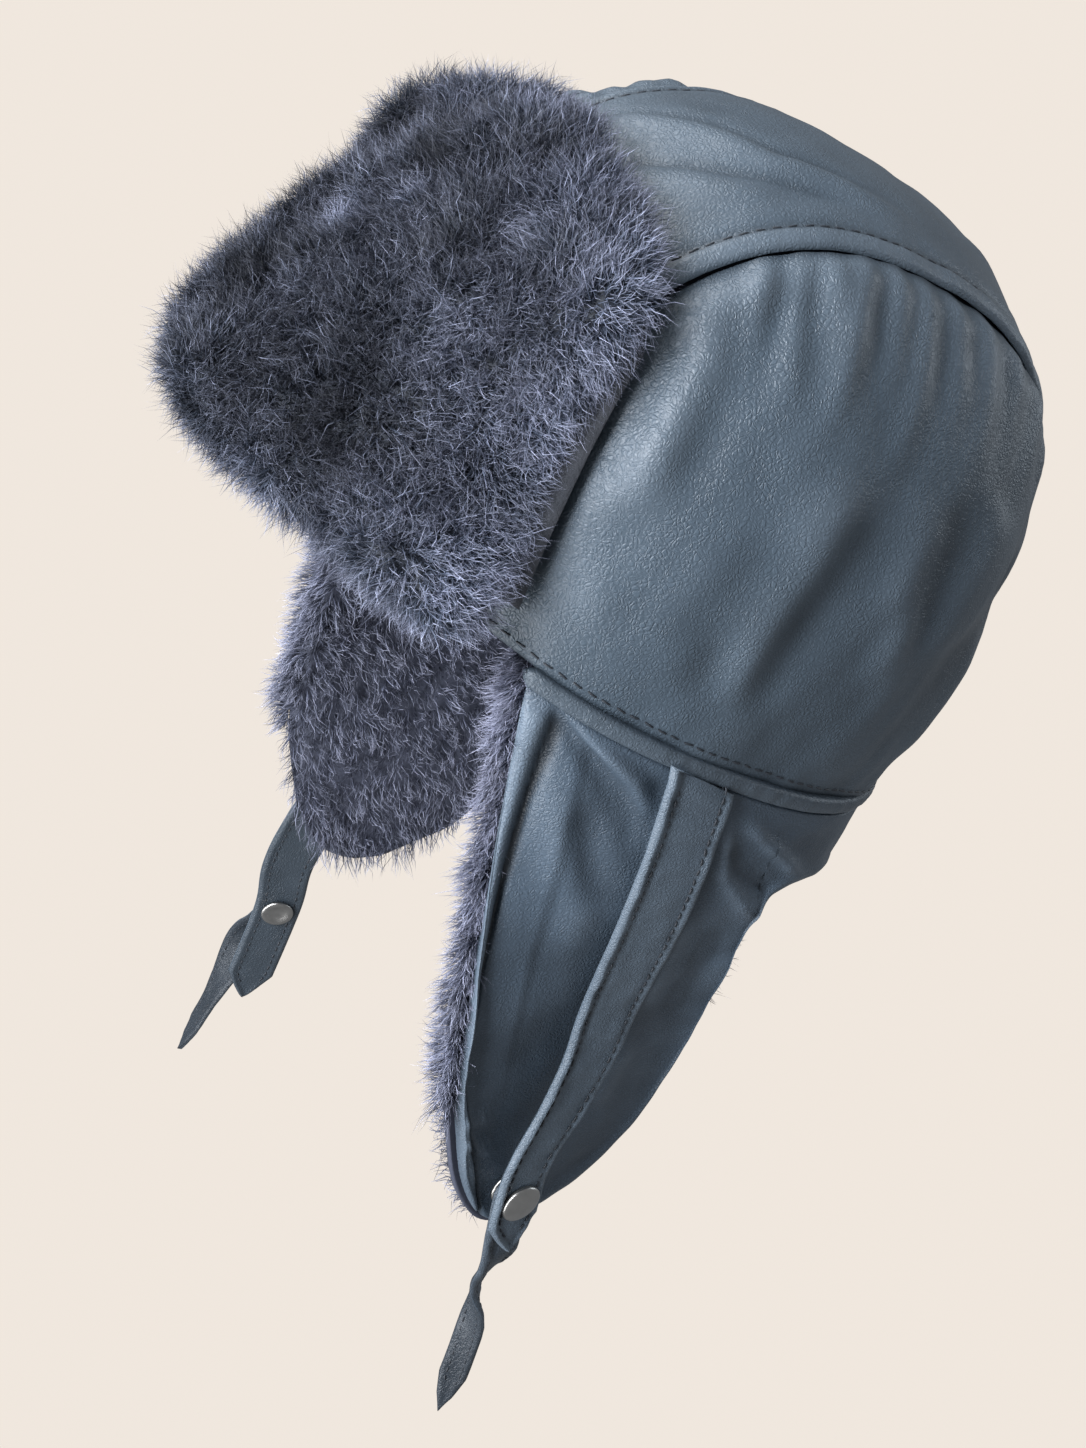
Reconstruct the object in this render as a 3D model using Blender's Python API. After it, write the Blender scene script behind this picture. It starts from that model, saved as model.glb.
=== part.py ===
"""Sheepskin aviator hat: leather crown, fur visor, ear flaps, straps, ties and snaps."""
import math

import bmesh
import bpy
import numpy as np

for old in list(bpy.data.objects):
    bpy.data.objects.remove(old, do_unlink=True)

# Driving sizes, in metres and degrees. The front is -Y, the wearer's left is +X.
# The origin is the middle of the head opening, on the plane of the crown's lower seam.
CROWN_HALF_WIDTH = 0.091
CROWN_FRONT = 0.090
CROWN_BACK = 0.098
CROWN_UP = 0.121
CROWN_DOWN = 0.126
CROWN_POWER = 2.46
CROWN_TILT = 24.3
CROWN_MIDDLE_Y = -0.0027
CROWN_MIDDLE_Z = 0.0153
RIM_TILT = 29.0
STRIP_HALF_WIDTH = 0.044
LEATHER = 0.0020
GAP = 0.0004
STRIP_RISE = 0.0006
FOLD_RISE = 0.0012
CREASE_RISE = 0.0010
GATHER_RISE = 0.0011
SWEEP_RISE = 0.0015
WELT_HEIGHT = 0.0052
WELT_DEPTH = 0.0044
LINING_DEPTH = 0.0095
LOCK_DEPTH = 0.0022
TEMPLE = 51.0
FLAP_TOP = 0.0068
FLAP_FLAT_X = 0.084
FLAP_LENGTH = 0.2080
FLAP_FORWARD = 0.0050
ROLL_RISE = 0.0016
ROLL_GROOVE = 0.0004
CROSS_RISE = 0.0018
PUCKER_RISE = 0.0012
LINING_REACH = 0.0060
LINING_TUCK = 0.0035
VISOR_END_LOW = 48.8
VISOR_END_HIGH = 41.0
VISOR_FOLD = -6.4
VISOR_TOP = 54.8
VISOR_HIDE_OFFSET = 0.0034
VISOR_HIDE = 0.0015
VISOR_EDGE = 0.0035
STRAP_WIDTH = 0.0205
STRAP_END_WIDTH = 0.0175
STRAP_THICK = 0.0022
STRAP_POINT = 0.0125
STRAP_LIE = 0.0025
STRAP_FREE = 0.0080
TIE_WIDTH = 0.0135
TIE_THICK = 0.0022
TIE_POINT = 0.0070
TIE_INWARD = 0.0085
SNAP_CAP = 0.0130
SNAP_CAP_HEIGHT = 0.0026
SNAP_SHANK = 0.0036
SNAP_HOLE = 0.0046
SNAP_DISC = 0.0120
SNAP_DISC_THICK = 0.0012

# Lower outline of the ear flap: degrees round the rim from the front, share of the flap's length.
FLAP_OUTLINE = {
    "azimuth": (51.0, 51.6, 53.0, 56.0, 60.5, 65.0, 70.0, 77.0, 84.0, 90.0, 96.0, 101.0, 104.5, 106.0,
                106.6, 106.8, 109.0, 114.0, 122.0, 136.0, 151.0, 166.0, 180.0),
    "drop": (0.664, 0.720, 0.775, 0.860, 0.925, 0.950, 0.945, 0.913, 0.873, 0.827, 0.765, 0.692, 0.600, 0.510,
             0.400, 0.279, 0.202, 0.165, 0.150, 0.148, 0.147, 0.146, 0.145),
}
# How far the fur lining runs on in front of the leather: degrees round the rim, share of the length.
LINING_FRONT = {"azimuth": (44.8, 46.3, 48.6), "drop": (0.655, 0.735, 0.800)}
# Depth of the visor's fur from the crown, in metres, from the far end to the near end.
VISOR_DEPTH = {
    "fold": (0.0310, 0.0447, 0.0620, 0.0579, 0.0400, 0.0404),
    "lower": (0.0171, 0.0360, 0.0437, 0.0429, 0.0322, 0.0145),
    "upper": (0.0280, 0.0271, 0.0282, 0.0284, 0.0260, 0.0203),
    "edge": (0.0312, 0.0219, 0.0246, 0.0245, 0.0237, 0.0281),
}
# Centre lines of the straps and ties: forward and height positions, as shares of the flap's length.
LEFT_STRAP = {
    "forward": (-0.071, -0.081, -0.091, -0.110, -0.150, -0.188, -0.203, -0.207),
    "height": (-0.006, -0.150, -0.330, -0.500, -0.600, -0.680, -0.755, -0.860),
}
RIGHT_STRAP = {
    "forward": (-0.074, -0.080, -0.110, -0.160, -0.218, -0.268, -0.279, -0.323),
    "height": (-0.006, -0.145, -0.317, -0.543, -0.760, -0.946, -1.072, -1.308),
}
LEFT_TIE = {
    "forward": (-0.200, -0.203, -0.206, -0.204, -0.200, -0.216, -0.240),
    "height": (-0.712, -0.755, -0.860, -0.975, -1.065, -1.175, -1.280),
    "twist": (0.0, 0.0, 4.0, 40.0, 100.0, 130.0, 140.0),
}
RIGHT_TIE = {
    "forward": (-0.272, -0.279, -0.302, -0.330, -0.363, -0.396, -0.430),
    "height": (-1.030, -1.072, -1.145, -1.225, -1.321, -1.416, -1.510),
    "twist": (0.0, 0.0, 10.0, 45.0, 70.0, 80.0, 85.0),
}


def material(name, colour, roughness, metallic=0.0):
    """Give a Principled material with a base colour, a roughness and a metallic value."""
    made = bpy.data.materials.new(name)
    made.use_nodes = True
    shader = made.node_tree.nodes["Principled BSDF"]
    shader.inputs["Base Color"].default_value = (*colour, 1.0)
    shader.inputs["Roughness"].default_value = roughness
    shader.inputs["Metallic"].default_value = metallic
    made.diffuse_color = (*colour, 1.0)
    return made


def smooth(x, low, high):
    """Rise smoothly from 0 at low to 1 at high."""
    t = np.clip((np.asarray(x, float) - low) / (high - low), 0.0, 1.0)
    return t * t * (3.0 - 2.0 * t)


def through(values, share):
    """Smooth curve through evenly spaced values, read at shares of its length."""
    values = np.asarray(values, float)
    last = len(values) - 1
    at = np.clip(np.asarray(share, float), 0.0, 1.0) * last
    i = np.minimum(at.astype(int), last - 1)
    t = at - i
    t = t.reshape(t.shape + (1,) * (values.ndim - 1))
    a, b = values[np.maximum(i - 1, 0)], values[i]
    c, d = values[i + 1], values[np.minimum(i + 2, last)]
    return 0.5 * (2 * b + (c - a) * t + (2 * a - 5 * b + 4 * c - d) * t * t
                  + (3 * b - a - 3 * c + d) * t ** 3)


def tilt(points, degrees):
    """Turn points about X so that what stands up leans to the back."""
    a = math.radians(degrees)
    x, y, z = points[..., 0], points[..., 1], points[..., 2]
    return np.stack([x, y * math.cos(a) + z * math.sin(a), z * math.cos(a) - y * math.sin(a)], -1)


def direction(theta, phi):
    """Unit direction from an azimuth (0 front, 90 wearer's left) and an elevation, in radians."""
    theta, phi = np.broadcast_arrays(theta, phi)
    flat = np.cos(phi)
    return np.stack([np.sin(theta) * flat, -np.cos(theta) * flat, np.sin(phi)], -1)


def crown(d, offset=0.0):
    """Point of the crown in a direction, pushed out along the crown's own normal."""
    d = np.asarray(d, float)
    long = np.where(d[..., 1] < 0.0, CROWN_FRONT, CROWN_BACK)
    high = np.where(d[..., 2] > 0.0, CROWN_UP, CROWN_DOWN)
    axes = np.stack([np.full(long.shape, CROWN_HALF_WIDTH), long, high], -1)
    total = (np.abs(d / axes) ** CROWN_POWER).sum(-1)
    local = d * (total ** (-1.0 / CROWN_POWER))[..., None]
    n = np.sign(local) * np.abs(local) ** (CROWN_POWER - 1.0) / axes ** CROWN_POWER
    n /= np.linalg.norm(n, axis=-1, keepdims=True)
    base = tilt(local, CROWN_TILT) + np.array([0.0, CROWN_MIDDLE_Y, CROWN_MIDDLE_Z])
    return base + tilt(n, CROWN_TILT) * np.asarray(offset, float)[..., None]


def over_rim(points):
    """Height of points over the tilted plane of the crown's lower seam."""
    a = math.radians(RIM_TILT)
    return points[..., 2] * math.cos(a) + points[..., 1] * math.sin(a)


def rim_phi(theta, lift=0.0):
    """Elevation at which the crown meets the rim plane, found by halving."""
    theta = np.asarray(theta, float)
    low = np.full(theta.shape, -1.45)
    high = np.full(theta.shape, 0.9)
    for _ in range(36):
        middle = (low + high) / 2.0
        above = over_rim(crown(direction(theta, middle))) > lift
        high = np.where(above, middle, high)
        low = np.where(above, low, middle)
    return (low + high) / 2.0


def seam_direction(alpha, half_width, side):
    """Direction of the strip's edge at an angle over the crown, found by halving."""
    alpha = np.asarray(alpha, float)
    low = np.zeros(alpha.shape)
    high = np.full(alpha.shape, 1.5)
    for _ in range(36):
        middle = (low + high) / 2.0
        reach = np.cos(middle)
        d = np.stack([np.sin(middle), -reach * np.cos(alpha), reach * np.sin(alpha)], -1)
        wide = crown(d)[..., 0] > half_width
        high = np.where(wide, middle, high)
        low = np.where(wide, low, middle)
    d[..., 0] *= side
    return d


def seam_limits(half_width, lift):
    """Angles over the crown at which the strip's edge meets the rim, front and back."""
    ends = []
    for start, stop in ((-0.9, 1.2), (4.0, 1.9)):
        low, high = start, stop
        for _ in range(36):
            middle = (low + high) / 2.0
            above = over_rim(crown(seam_direction(middle, half_width, 1))) > lift
            low, high = (low, middle) if above else (middle, high)
        ends.append((low + high) / 2.0)
    return ends


def build(name, vertices, faces, surface):
    """Make one closed, outward-facing object of triangles."""
    mesh = bpy.data.meshes.new(name)
    mesh.from_pydata([tuple(v) for v in vertices], [], faces)
    work = bmesh.new()
    work.from_mesh(mesh)
    bmesh.ops.remove_doubles(work, verts=work.verts, dist=0.00002)
    bmesh.ops.dissolve_degenerate(work, edges=work.edges, dist=0.000005)
    bmesh.ops.triangulate(work, faces=work.faces)
    bmesh.ops.recalc_face_normals(work, faces=work.faces)
    if work.calc_volume(signed=True) < 0.0:
        bmesh.ops.reverse_faces(work, faces=work.faces)
    work.to_mesh(mesh)
    work.free()
    made = bpy.data.objects.new(name, mesh)
    mesh.materials.append(surface)
    bpy.context.scene.collection.objects.link(made)
    return made


def shell(name, outer, inner, surface):
    """Close two matching grids of points into one wall."""
    rows, columns = outer.shape[:2]
    vertices = np.concatenate([outer.reshape(-1, 3), inner.reshape(-1, 3)])
    count = rows * columns
    faces = []
    for i in range(rows - 1):
        for j in range(columns - 1):
            a, b = i * columns + j, i * columns + j + 1
            c, d = a + columns + 1, a + columns
            if (i + j) % 2:
                faces += [(a, b, c), (a, c, d)]
                faces += [(count + c, count + b, count + a), (count + d, count + c, count + a)]
            else:
                faces += [(a, b, d), (b, c, d)]
                faces += [(count + d, count + b, count + a), (count + d, count + c, count + b)]
    edge = [i * columns for i in range(rows)]
    edge += [(rows - 1) * columns + j for j in range(1, columns)]
    edge += [i * columns + columns - 1 for i in range(rows - 2, -1, -1)]
    edge += [j for j in range(columns - 2, 0, -1)]
    for a, b in zip(edge, edge[1:] + edge[:1]):
        faces.append((a, b, count + b))
        faces.append((a, count + b, count + a))
    return build(name, vertices, faces, surface)


leather_mat = material("slate_leather", (0.075, 0.098, 0.122), 0.42)
panel_mat = material("slate_panel_leather", (0.080, 0.104, 0.128), 0.40)
trim_mat = material("slate_trim_leather", (0.062, 0.080, 0.100), 0.45)
fur_mat = material("grey_fur", (0.150, 0.145, 0.185), 0.85)
pile_mat = material("grey_lining_fur", (0.165, 0.160, 0.200), 0.85)
hide_mat = material("suede_hide", (0.055, 0.060, 0.070), 0.75)
snap_mat = material("brushed_nickel", (0.44, 0.42, 0.39), 0.32, 1.0)

# The two side panels of the crown, gathered into the strip at the upper back.
for side, label in ((1, "left"), (-1, "right")):
    columns, rows = 25, 8
    lift = GAP / 2.0
    front, back = seam_limits(STRIP_HALF_WIDTH + GAP, lift)
    share = np.linspace(0.0, 1.0, columns)
    share = share + 0.035 * np.sin(2.0 * np.pi * share)
    upper = seam_direction(front + (back - front) * share, STRIP_HALF_WIDTH + GAP, 1)
    first = math.atan2(upper[0, 0], -upper[0, 1])
    last = math.atan2(upper[-1, 0], -upper[-1, 1])
    theta = first + (last - first) * share
    lower = direction(theta, rim_phi(theta, lift))
    lower[0], lower[-1] = upper[0], upper[-1]
    climb = np.linspace(0.0, 1.0, rows)
    angle = np.arccos(np.clip((upper * lower).sum(-1), -1.0, 1.0))
    angle = np.maximum(angle, 1e-6)
    panel = (lower[:, None] * np.sin((1.0 - climb) * angle[:, None])[..., None]
             + upper[:, None] * np.sin(climb * angle[:, None])[..., None])
    panel /= np.linalg.norm(panel, axis=-1, keepdims=True)
    s, t = np.meshgrid(share, climb, indexing="ij")
    gather = GATHER_RISE * (0.5 + 0.5 * np.cos(s * 58.0)) * smooth(s, 0.45, 0.6) * smooth(1.0 - s, 0.1, 0.25)
    gather = gather * smooth(t, 0.45, 0.8) * smooth(1.0 - t, 0.0, 0.12)
    sweep = SWEEP_RISE * np.exp(-((s - 0.42 - 0.18 * (t - 0.5)) / 0.07) ** 2)
    sweep = sweep * smooth(t, 0.1, 0.4) * smooth(1.0 - t, 0.1, 0.3)
    relief = gather + sweep
    panel[..., 0] *= side
    shell("crown_side_" + label, crown(panel, relief), crown(panel, relief - LEATHER), panel_mat)

# The centre strip runs over the top from the forehead to the nape, with a raised fold at each edge.
columns = 25
across = np.array([-1.0, -0.94, -0.86, -0.45, 0.0, 0.45, 0.86, 0.94, 1.0])
share = np.linspace(0.0, 1.0, columns)
share = share + 0.035 * np.sin(2.0 * np.pi * share)
lines_of_strip = []
for part in across:
    half = max(abs(part) * STRIP_HALF_WIDTH, 0.00001)
    low, high = seam_limits(half, GAP / 2.0)
    lines_of_strip.append(seam_direction(low + (high - low) * share, half, 1 if part >= 0.0 else -1))
strip = np.stack(lines_of_strip, 1)
s, t = np.meshgrid(share, across, indexing="ij")
fold = STRIP_RISE + FOLD_RISE * np.exp(-((np.abs(t) - 0.93) / 0.05) ** 2)
crease = CREASE_RISE * np.exp(-((s - 0.50 - 0.04 * t) / 0.030) ** 2)
crease = crease + 0.8 * CREASE_RISE * np.exp(-((s - 0.60 + 0.03 * t) / 0.028) ** 2)
relief = fold + crease * smooth(1.0 - np.abs(t), 0.1, 0.4)
shell("crown_top_strip", crown(strip, relief), crown(strip, relief - LEATHER), leather_mat)

# The welt is a rolled leather piping round the sides and back, between the crown and the flaps.
theta = np.radians(np.linspace(TEMPLE, 360.0 - TEMPLE, 37))
rim_line = crown(direction(theta, rim_phi(theta)))
plane_normal = np.array([0.0, math.sin(math.radians(RIM_TILT)), math.cos(math.radians(RIM_TILT))])
along = np.gradient(rim_line, axis=0)
outward = np.cross(along, plane_normal)
outward /= np.linalg.norm(outward, axis=-1, keepdims=True)
outward *= np.sign((outward * rim_line).sum(-1))[:, None]
turn = np.radians(np.arange(0.0, 360.0, 45.0) + 22.5)
middle = rim_line - plane_normal * (WELT_HEIGHT / 2.0 + GAP) - outward * GAP
ring = (middle[:, None] + outward[:, None] * (WELT_DEPTH / 2.0 * np.cos(turn))[None, :, None]
        + plane_normal * (WELT_HEIGHT / 2.0 * np.sin(turn))[None, :, None])
count = len(turn)
faces = []
for i in range(len(theta) - 1):
    for j in range(count):
        k = (j + 1) % count
        faces.append((i * count + j, i * count + k, (i + 1) * count + k, (i + 1) * count + j))
faces.append(tuple(range(count)))
faces.append(tuple((len(theta) - 1) * count + j for j in reversed(range(count))))
build("rim_welt", ring.reshape(-1, 3), faces, trim_mat)


def flap(theta_degrees, drop, offset=0.0, side=1):
    """Point of the leather below the rim, at an azimuth and a drop, pushed out by an offset."""
    def place(degrees, down):
        a = np.radians(degrees)
        top = crown(direction(a, rim_phi(a)))
        bend = smooth(degrees, 100.0, 165.0)
        fall = np.stack([0.0 * bend, -0.45 * bend, -1.0 + 0.0 * bend], -1)
        fall /= np.linalg.norm(fall, axis=-1, keepdims=True)
        point = top + fall * down[..., None]
        hang = smooth(down, 0.03, 0.150) * (1.0 - smooth(degrees, 100.0, 125.0))
        point[..., 1] -= FLAP_FORWARD * hang * (1.0 - smooth(degrees, 52.0, 85.0))
        flat = FLAP_FLAT_X - 0.20 * (point[..., 1] + 0.038) + 0.06 * (down - 0.150)
        point[..., 0] += (flat - point[..., 0]) * hang
        return point
    degrees, down = np.broadcast_arrays(np.asarray(theta_degrees, float), np.asarray(drop, float))
    base = place(degrees, down)
    step_a = place(degrees + 0.5, down) - place(degrees - 0.5, down)
    step_d = place(degrees, down + 0.001) - place(degrees, down - 0.001)
    n = np.cross(step_d, step_a)
    n /= np.linalg.norm(n, axis=-1, keepdims=True)
    n *= np.sign((n * base)[..., :2].sum(-1))[..., None]
    base = base + n * np.asarray(offset, float)[..., None]
    base[..., 0] *= side
    return base


# The ear flaps run on round the nape as a short guard and meet at the middle of the back.
outline = np.stack([FLAP_OUTLINE["azimuth"], FLAP_OUTLINE["drop"]], -1)
for side, label in ((1, "left"), (-1, "right")):
    degrees = outline[:, 0].copy()
    degrees[-1] -= 0.3
    ends = outline[:, 1] * FLAP_LENGTH
    level = np.array([0.0, 0.13, 0.30, 0.48, 0.66, 0.84, 1.0])
    down = FLAP_TOP + (ends[:, None] - FLAP_TOP) * level[None]
    a, v = np.broadcast_arrays(degrees[:, None], level[None])
    roll = ROLL_RISE * np.exp(-((a - 55.5) / 2.2) ** 2) * smooth(v, 0.05, 0.2)
    groove = -ROLL_GROOVE * np.exp(-((a - 61.0) / 2.5) ** 2)
    cross = CROSS_RISE * np.exp(-((down - 0.012 - (a - 57.0) * 0.0011) / 0.006) ** 2)
    cross = cross * smooth(a, 55.0, 60.0) * (1.0 - smooth(a, 70.0, 78.0))
    pucker = PUCKER_RISE * (0.5 + 0.5 * np.cos(a * 0.9)) * smooth(a, 100.0, 108.0) * smooth(v, 0.2, 0.9)
    relief = np.maximum(roll + groove + cross + pucker, 0.0)
    relief = relief * smooth(v, 0.0, 0.12)
    shell("ear_flap_" + label, flap(a, down, relief, side),
          flap(a, down, relief - LEATHER, side), leather_mat)

# Fur lines the flaps and shows as a fringe in front of the leather's front edge and round the tip.
for side, label in ((1, "left"), (-1, "right")):
    extra = np.stack([LINING_FRONT["azimuth"], LINING_FRONT["drop"]], -1)
    edge = np.concatenate([extra, outline])
    degrees = edge[:, 0].copy()
    degrees[-1] -= 0.4
    grow = LINING_REACH * (1.0 - smooth(degrees, 74.0, 86.0)) - LINING_TUCK * smooth(degrees, 88.0, 100.0)
    ends = edge[:, 1] * FLAP_LENGTH + grow
    level = np.linspace(0.0, 1.0, 10)
    top = FLAP_TOP + 3.0 * GAP
    down = top + (ends[:, None] - top) * level[None]
    index = np.arange(len(degrees))[:, None] * np.ones(len(level), int)[None]
    row = np.ones(len(degrees), int)[:, None] * np.arange(len(level))[None]
    a, v = np.broadcast_arrays(degrees[:, None], level[None])
    jag = np.where((index + row // 2) % 2 == 0, 1.0, 0.0) * np.where(row % 2 == 1, 1.0, 0.35)
    lip = (1.0 - smooth(a, 47.5, 50.4)) * LEATHER
    outer = -LEATHER - 2.5 * GAP + lip
    edge_thin = np.minimum(1.0, 0.55 + 2.0 * np.minimum(v, 1.0 - v)) * (0.55 + 0.45 * smooth(a, 44.0, 50.0))
    inner = outer - LOCK_DEPTH - (LINING_DEPTH - LOCK_DEPTH) * edge_thin - LOCK_DEPTH * jag
    wave = 0.6 * np.where(row % 2 == 1, 1.0, -1.0) * (1.0 - smooth(a, 45.0, 48.0))
    shell("fur_lining_flap_" + label, flap(a + wave, down, outer, side), flap(a + wave, down, inner, side),
          pile_mat)

# The crown's own fur side: a dome inside the leather with a relief of short locks.
columns, rows = 29, 8
theta = np.radians(np.linspace(0.0, 360.0, columns))
low = rim_phi(theta, 3.0 * GAP)
climb = np.linspace(0.0, 1.0, rows) ** 0.9
phi = low[:, None] + (np.pi / 2.0 - low[:, None]) * climb[None]
d = direction(theta[:, None] * np.ones(rows)[None], phi)
index = np.arange(columns)[:, None] % (columns - 1) * np.ones(rows, int)[None]
row = np.ones(columns, int)[:, None] * np.arange(rows)[None]
jag = np.where((index + row) % 2 == 0, 1.0, 0.2) * (row < rows - 1)
rim_edge = np.where(row == 0, 0.35, 1.0)
skin_side = crown(d, np.full(phi.shape, -LEATHER - 3.75 * GAP))
pile_side = crown(d, -LEATHER * 2.0 - 3.75 * GAP - (LINING_DEPTH - LEATHER) * rim_edge - LOCK_DEPTH * jag)
vertices = np.concatenate([skin_side.reshape(-1, 3), pile_side.reshape(-1, 3)])
count = columns * rows
faces = []
for i in range(columns - 1):
    for j in range(rows - 1):
        a, b = i * rows + j, i * rows + j + 1
        c, e = a + rows + 1, a + rows
        faces.append((a, b, c, e))
        faces.append((count + e, count + c, count + b, count + a))
    faces.append((i * rows, (i + 1) * rows, count + (i + 1) * rows, count + i * rows))
build("fur_lining_crown", vertices, faces, pile_mat)


def visor(u, v, offset):
    """Point of the upturned visor: u from temple to temple, v from its fold to its top edge."""
    u, v = np.broadcast_arrays(np.asarray(u, float), np.asarray(v, float))
    size = np.abs(u)
    low_theta = VISOR_END_LOW * u
    high_theta = VISOR_END_HIGH * u
    low_phi = VISOR_FOLD + 4.4 * size ** 2
    high_phi = VISOR_TOP - 9.8 * size ** 2 - 7.0 * np.maximum(size - 0.55, 0.0) ** 2 / 0.45 ** 2
    theta = low_theta + (high_theta - low_theta) * v
    phi = low_phi + (high_phi - low_phi) * v
    return crown(direction(np.radians(theta), np.radians(phi)), offset)


# The visor's hide stands against the front of the crown and carries the fur.
u, v = np.meshgrid(np.linspace(-0.955, 0.955, 13), np.linspace(0.115, 0.965, 6), indexing="ij")
shell("visor_hide", visor(u, v, np.full(u.shape, VISOR_HIDE_OFFSET + VISOR_HIDE)),
      visor(u, v, np.full(u.shape, VISOR_HIDE_OFFSET)), hide_mat)

# The visor's deep fur: rows of overlapping locks on one pad, thickest along the fold.
columns, rows = 31, 17
u, v = np.meshgrid(np.linspace(-1.0, 1.0, columns), np.linspace(0.0, 1.0, rows), indexing="ij")
index = np.arange(columns)[:, None] * np.ones(rows, int)[None]
row = np.ones(columns, int)[:, None] * np.arange(rows)[None]
rows_of_depth = np.array([VISOR_DEPTH[name] for name in ("fold", "lower", "upper", "edge")])
depth = through(rows_of_depth.T, (u[:, 0] + 1.0) / 2.0)
depth = through(depth.T, v[0]).T
back_offset = VISOR_HIDE_OFFSET + VISOR_HIDE + 2.5 * GAP
margin = np.minimum(np.minimum(1.0 - np.abs(u), (v + 0.02) * 0.9), (1.0 - v) * 0.9)
pillow = np.sqrt(np.clip(1.0 - (1.0 - np.clip(margin / 0.16, 0.0, 1.0)) ** 2, 0.0, 1.0))
lock = np.where((index + row // 3) % 2 == 0, 1.0, -0.2) * np.array([1.0, 0.45, 0.0])[row % 3]
front_offset = back_offset + VISOR_EDGE + (depth - back_offset - VISOR_EDGE) * (0.35 + 0.65 * pillow)
front_offset = front_offset + LOCK_DEPTH * lock
jut = np.where((index + row) % 2 == 0, 1.0, 0.0)
u_edge = u + np.sign(u) * 0.018 * jut * (np.abs(u) > 0.999)
v_edge = v + 0.016 * jut * (row == rows - 1) - 0.016 * jut * (row == 0)
shell("visor_fur", visor(u_edge, v_edge, front_offset),
      visor(u_edge, v_edge, np.full(u.shape, back_offset)), fur_mat)


def centre_line(table, lie_off, free_off, leave, side, steps):
    """Smooth centre line of a strap from its table, lying on the flap and then hanging free."""
    points = np.stack([table["forward"], table["height"]], -1) * FLAP_LENGTH
    knots = np.concatenate([[0.0], np.cumsum(np.linalg.norm(np.diff(points, axis=0), axis=1))])
    at = np.linspace(0.0, knots[-1], steps)
    line = []
    for q in at:
        i = min(max(int(np.searchsorted(knots, q)) - 1, 0), len(points) - 2)
        t = (q - knots[i]) / (knots[i + 1] - knots[i])
        a = points[max(i - 1, 0)]
        b, c = points[i], points[i + 1]
        d = points[min(i + 2, len(points) - 1)]
        line.append(0.5 * (2 * b + (c - a) * t + (2 * a - 5 * b + 4 * c - d) * t * t
                           + (3 * b - a - 3 * c + d) * t ** 3))
    line = np.array(line)
    # The flap's surface is met by halving on the azimuth for the strap's forward position.
    drop_guess = np.maximum(-line[:, 1] + 0.006, 0.004)
    low = np.full(len(line), 52.0)
    high = np.full(len(line), 96.0)
    for _ in range(30):
        middle = (low + high) / 2.0
        for _ in range(3):
            here = flap(middle, drop_guess)
            drop_guess = drop_guess + (here[:, 2] - line[:, 1])
        forward = here[:, 1] < line[:, 0]
        low = np.where(forward, middle, low)
        high = np.where(forward, high, middle)
    surface = flap(middle, drop_guess)
    raised = flap(middle, drop_guess, np.full(len(line), 0.001))
    n = (raised - surface) / 0.001
    share = at / knots[-1]
    off = lie_off + (free_off - lie_off) * smooth(share, leave, leave + 0.27)
    x = surface[:, 0] + n[:, 0] * off
    path = np.stack([x, line[:, 0], line[:, 1]], -1)
    path[:, 0] *= side
    n[:, 0] *= side
    return path, n, share


def ribbon(name, path, n, widths, thick, twists, hole_at, slant, surface):
    """Sweep a rolled-edge band along a path, twist it and drill the snap's hole."""
    tangent = np.gradient(path, axis=0)
    tangent /= np.linalg.norm(tangent, axis=-1, keepdims=True)
    n = n - (n * tangent).sum(-1, keepdims=True) * tangent
    n /= np.linalg.norm(n, axis=-1, keepdims=True)
    b = np.cross(n, tangent)
    c, s = np.cos(np.radians(twists))[:, None], np.sin(np.radians(twists))[:, None]
    n, b = n * c + b * s, b * c - n * s
    profile = np.array([(-1.0, 0.0), (-0.90, 0.62), (-0.74, 0.40), (0.74, 0.40), (0.90, 0.62), (1.0, 0.0),
                        (0.90, -0.62), (0.74, -0.40), (-0.74, -0.40), (-0.90, -0.62)])
    count = len(profile)
    rings = (path[:, None] + b[:, None] * (profile[None, :, 0] * widths[:, None] / 2.0)[..., None]
             + n[:, None] * (profile[None, :, 1] * thick)[..., None])
    shear = slant * math.tan(math.radians(RIM_TILT)) * np.clip(1.0 - np.arange(len(path)) / 2.0, 0.0, 1.0)
    rings[..., 2] -= shear[:, None] * (rings[..., 1] - path[:, None, 1])
    faces = []
    for i in range(len(path) - 1):
        for j in range(count):
            k = (j + 1) % count
            faces.append((i * count + j, i * count + k, (i + 1) * count + k, (i + 1) * count + j))
    faces.append(tuple(range(count)))
    faces.append(tuple((len(path) - 1) * count + j for j in reversed(range(count))))
    made = build(name, rings.reshape(-1, 3), faces, surface)
    centre, axis = path[hole_at], n[hole_at]
    drill(made, centre, axis)
    return centre, axis


def lathe(profile, centre, axis, sides):
    """Turn a profile of radius and height pairs about an axis through a centre."""
    axis = np.asarray(axis) / np.linalg.norm(axis)
    p = np.cross(axis, (0.0, 0.0, 1.0))
    p /= np.linalg.norm(p)
    q = np.cross(axis, p)
    vertices, faces = [], []
    for radius, height in profile:
        for k in range(sides):
            a = 2.0 * math.pi * k / sides
            vertices.append(centre + axis * height + (p * math.cos(a) + q * math.sin(a)) * radius)
    for i in range(len(profile) - 1):
        for k in range(sides):
            m = (k + 1) % sides
            faces.append((i * sides + k, i * sides + m, (i + 1) * sides + m, (i + 1) * sides + k))
    faces.append(tuple(reversed(range(sides))))
    faces.append(tuple((len(profile) - 1) * sides + k for k in range(sides)))
    return vertices, faces


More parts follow.
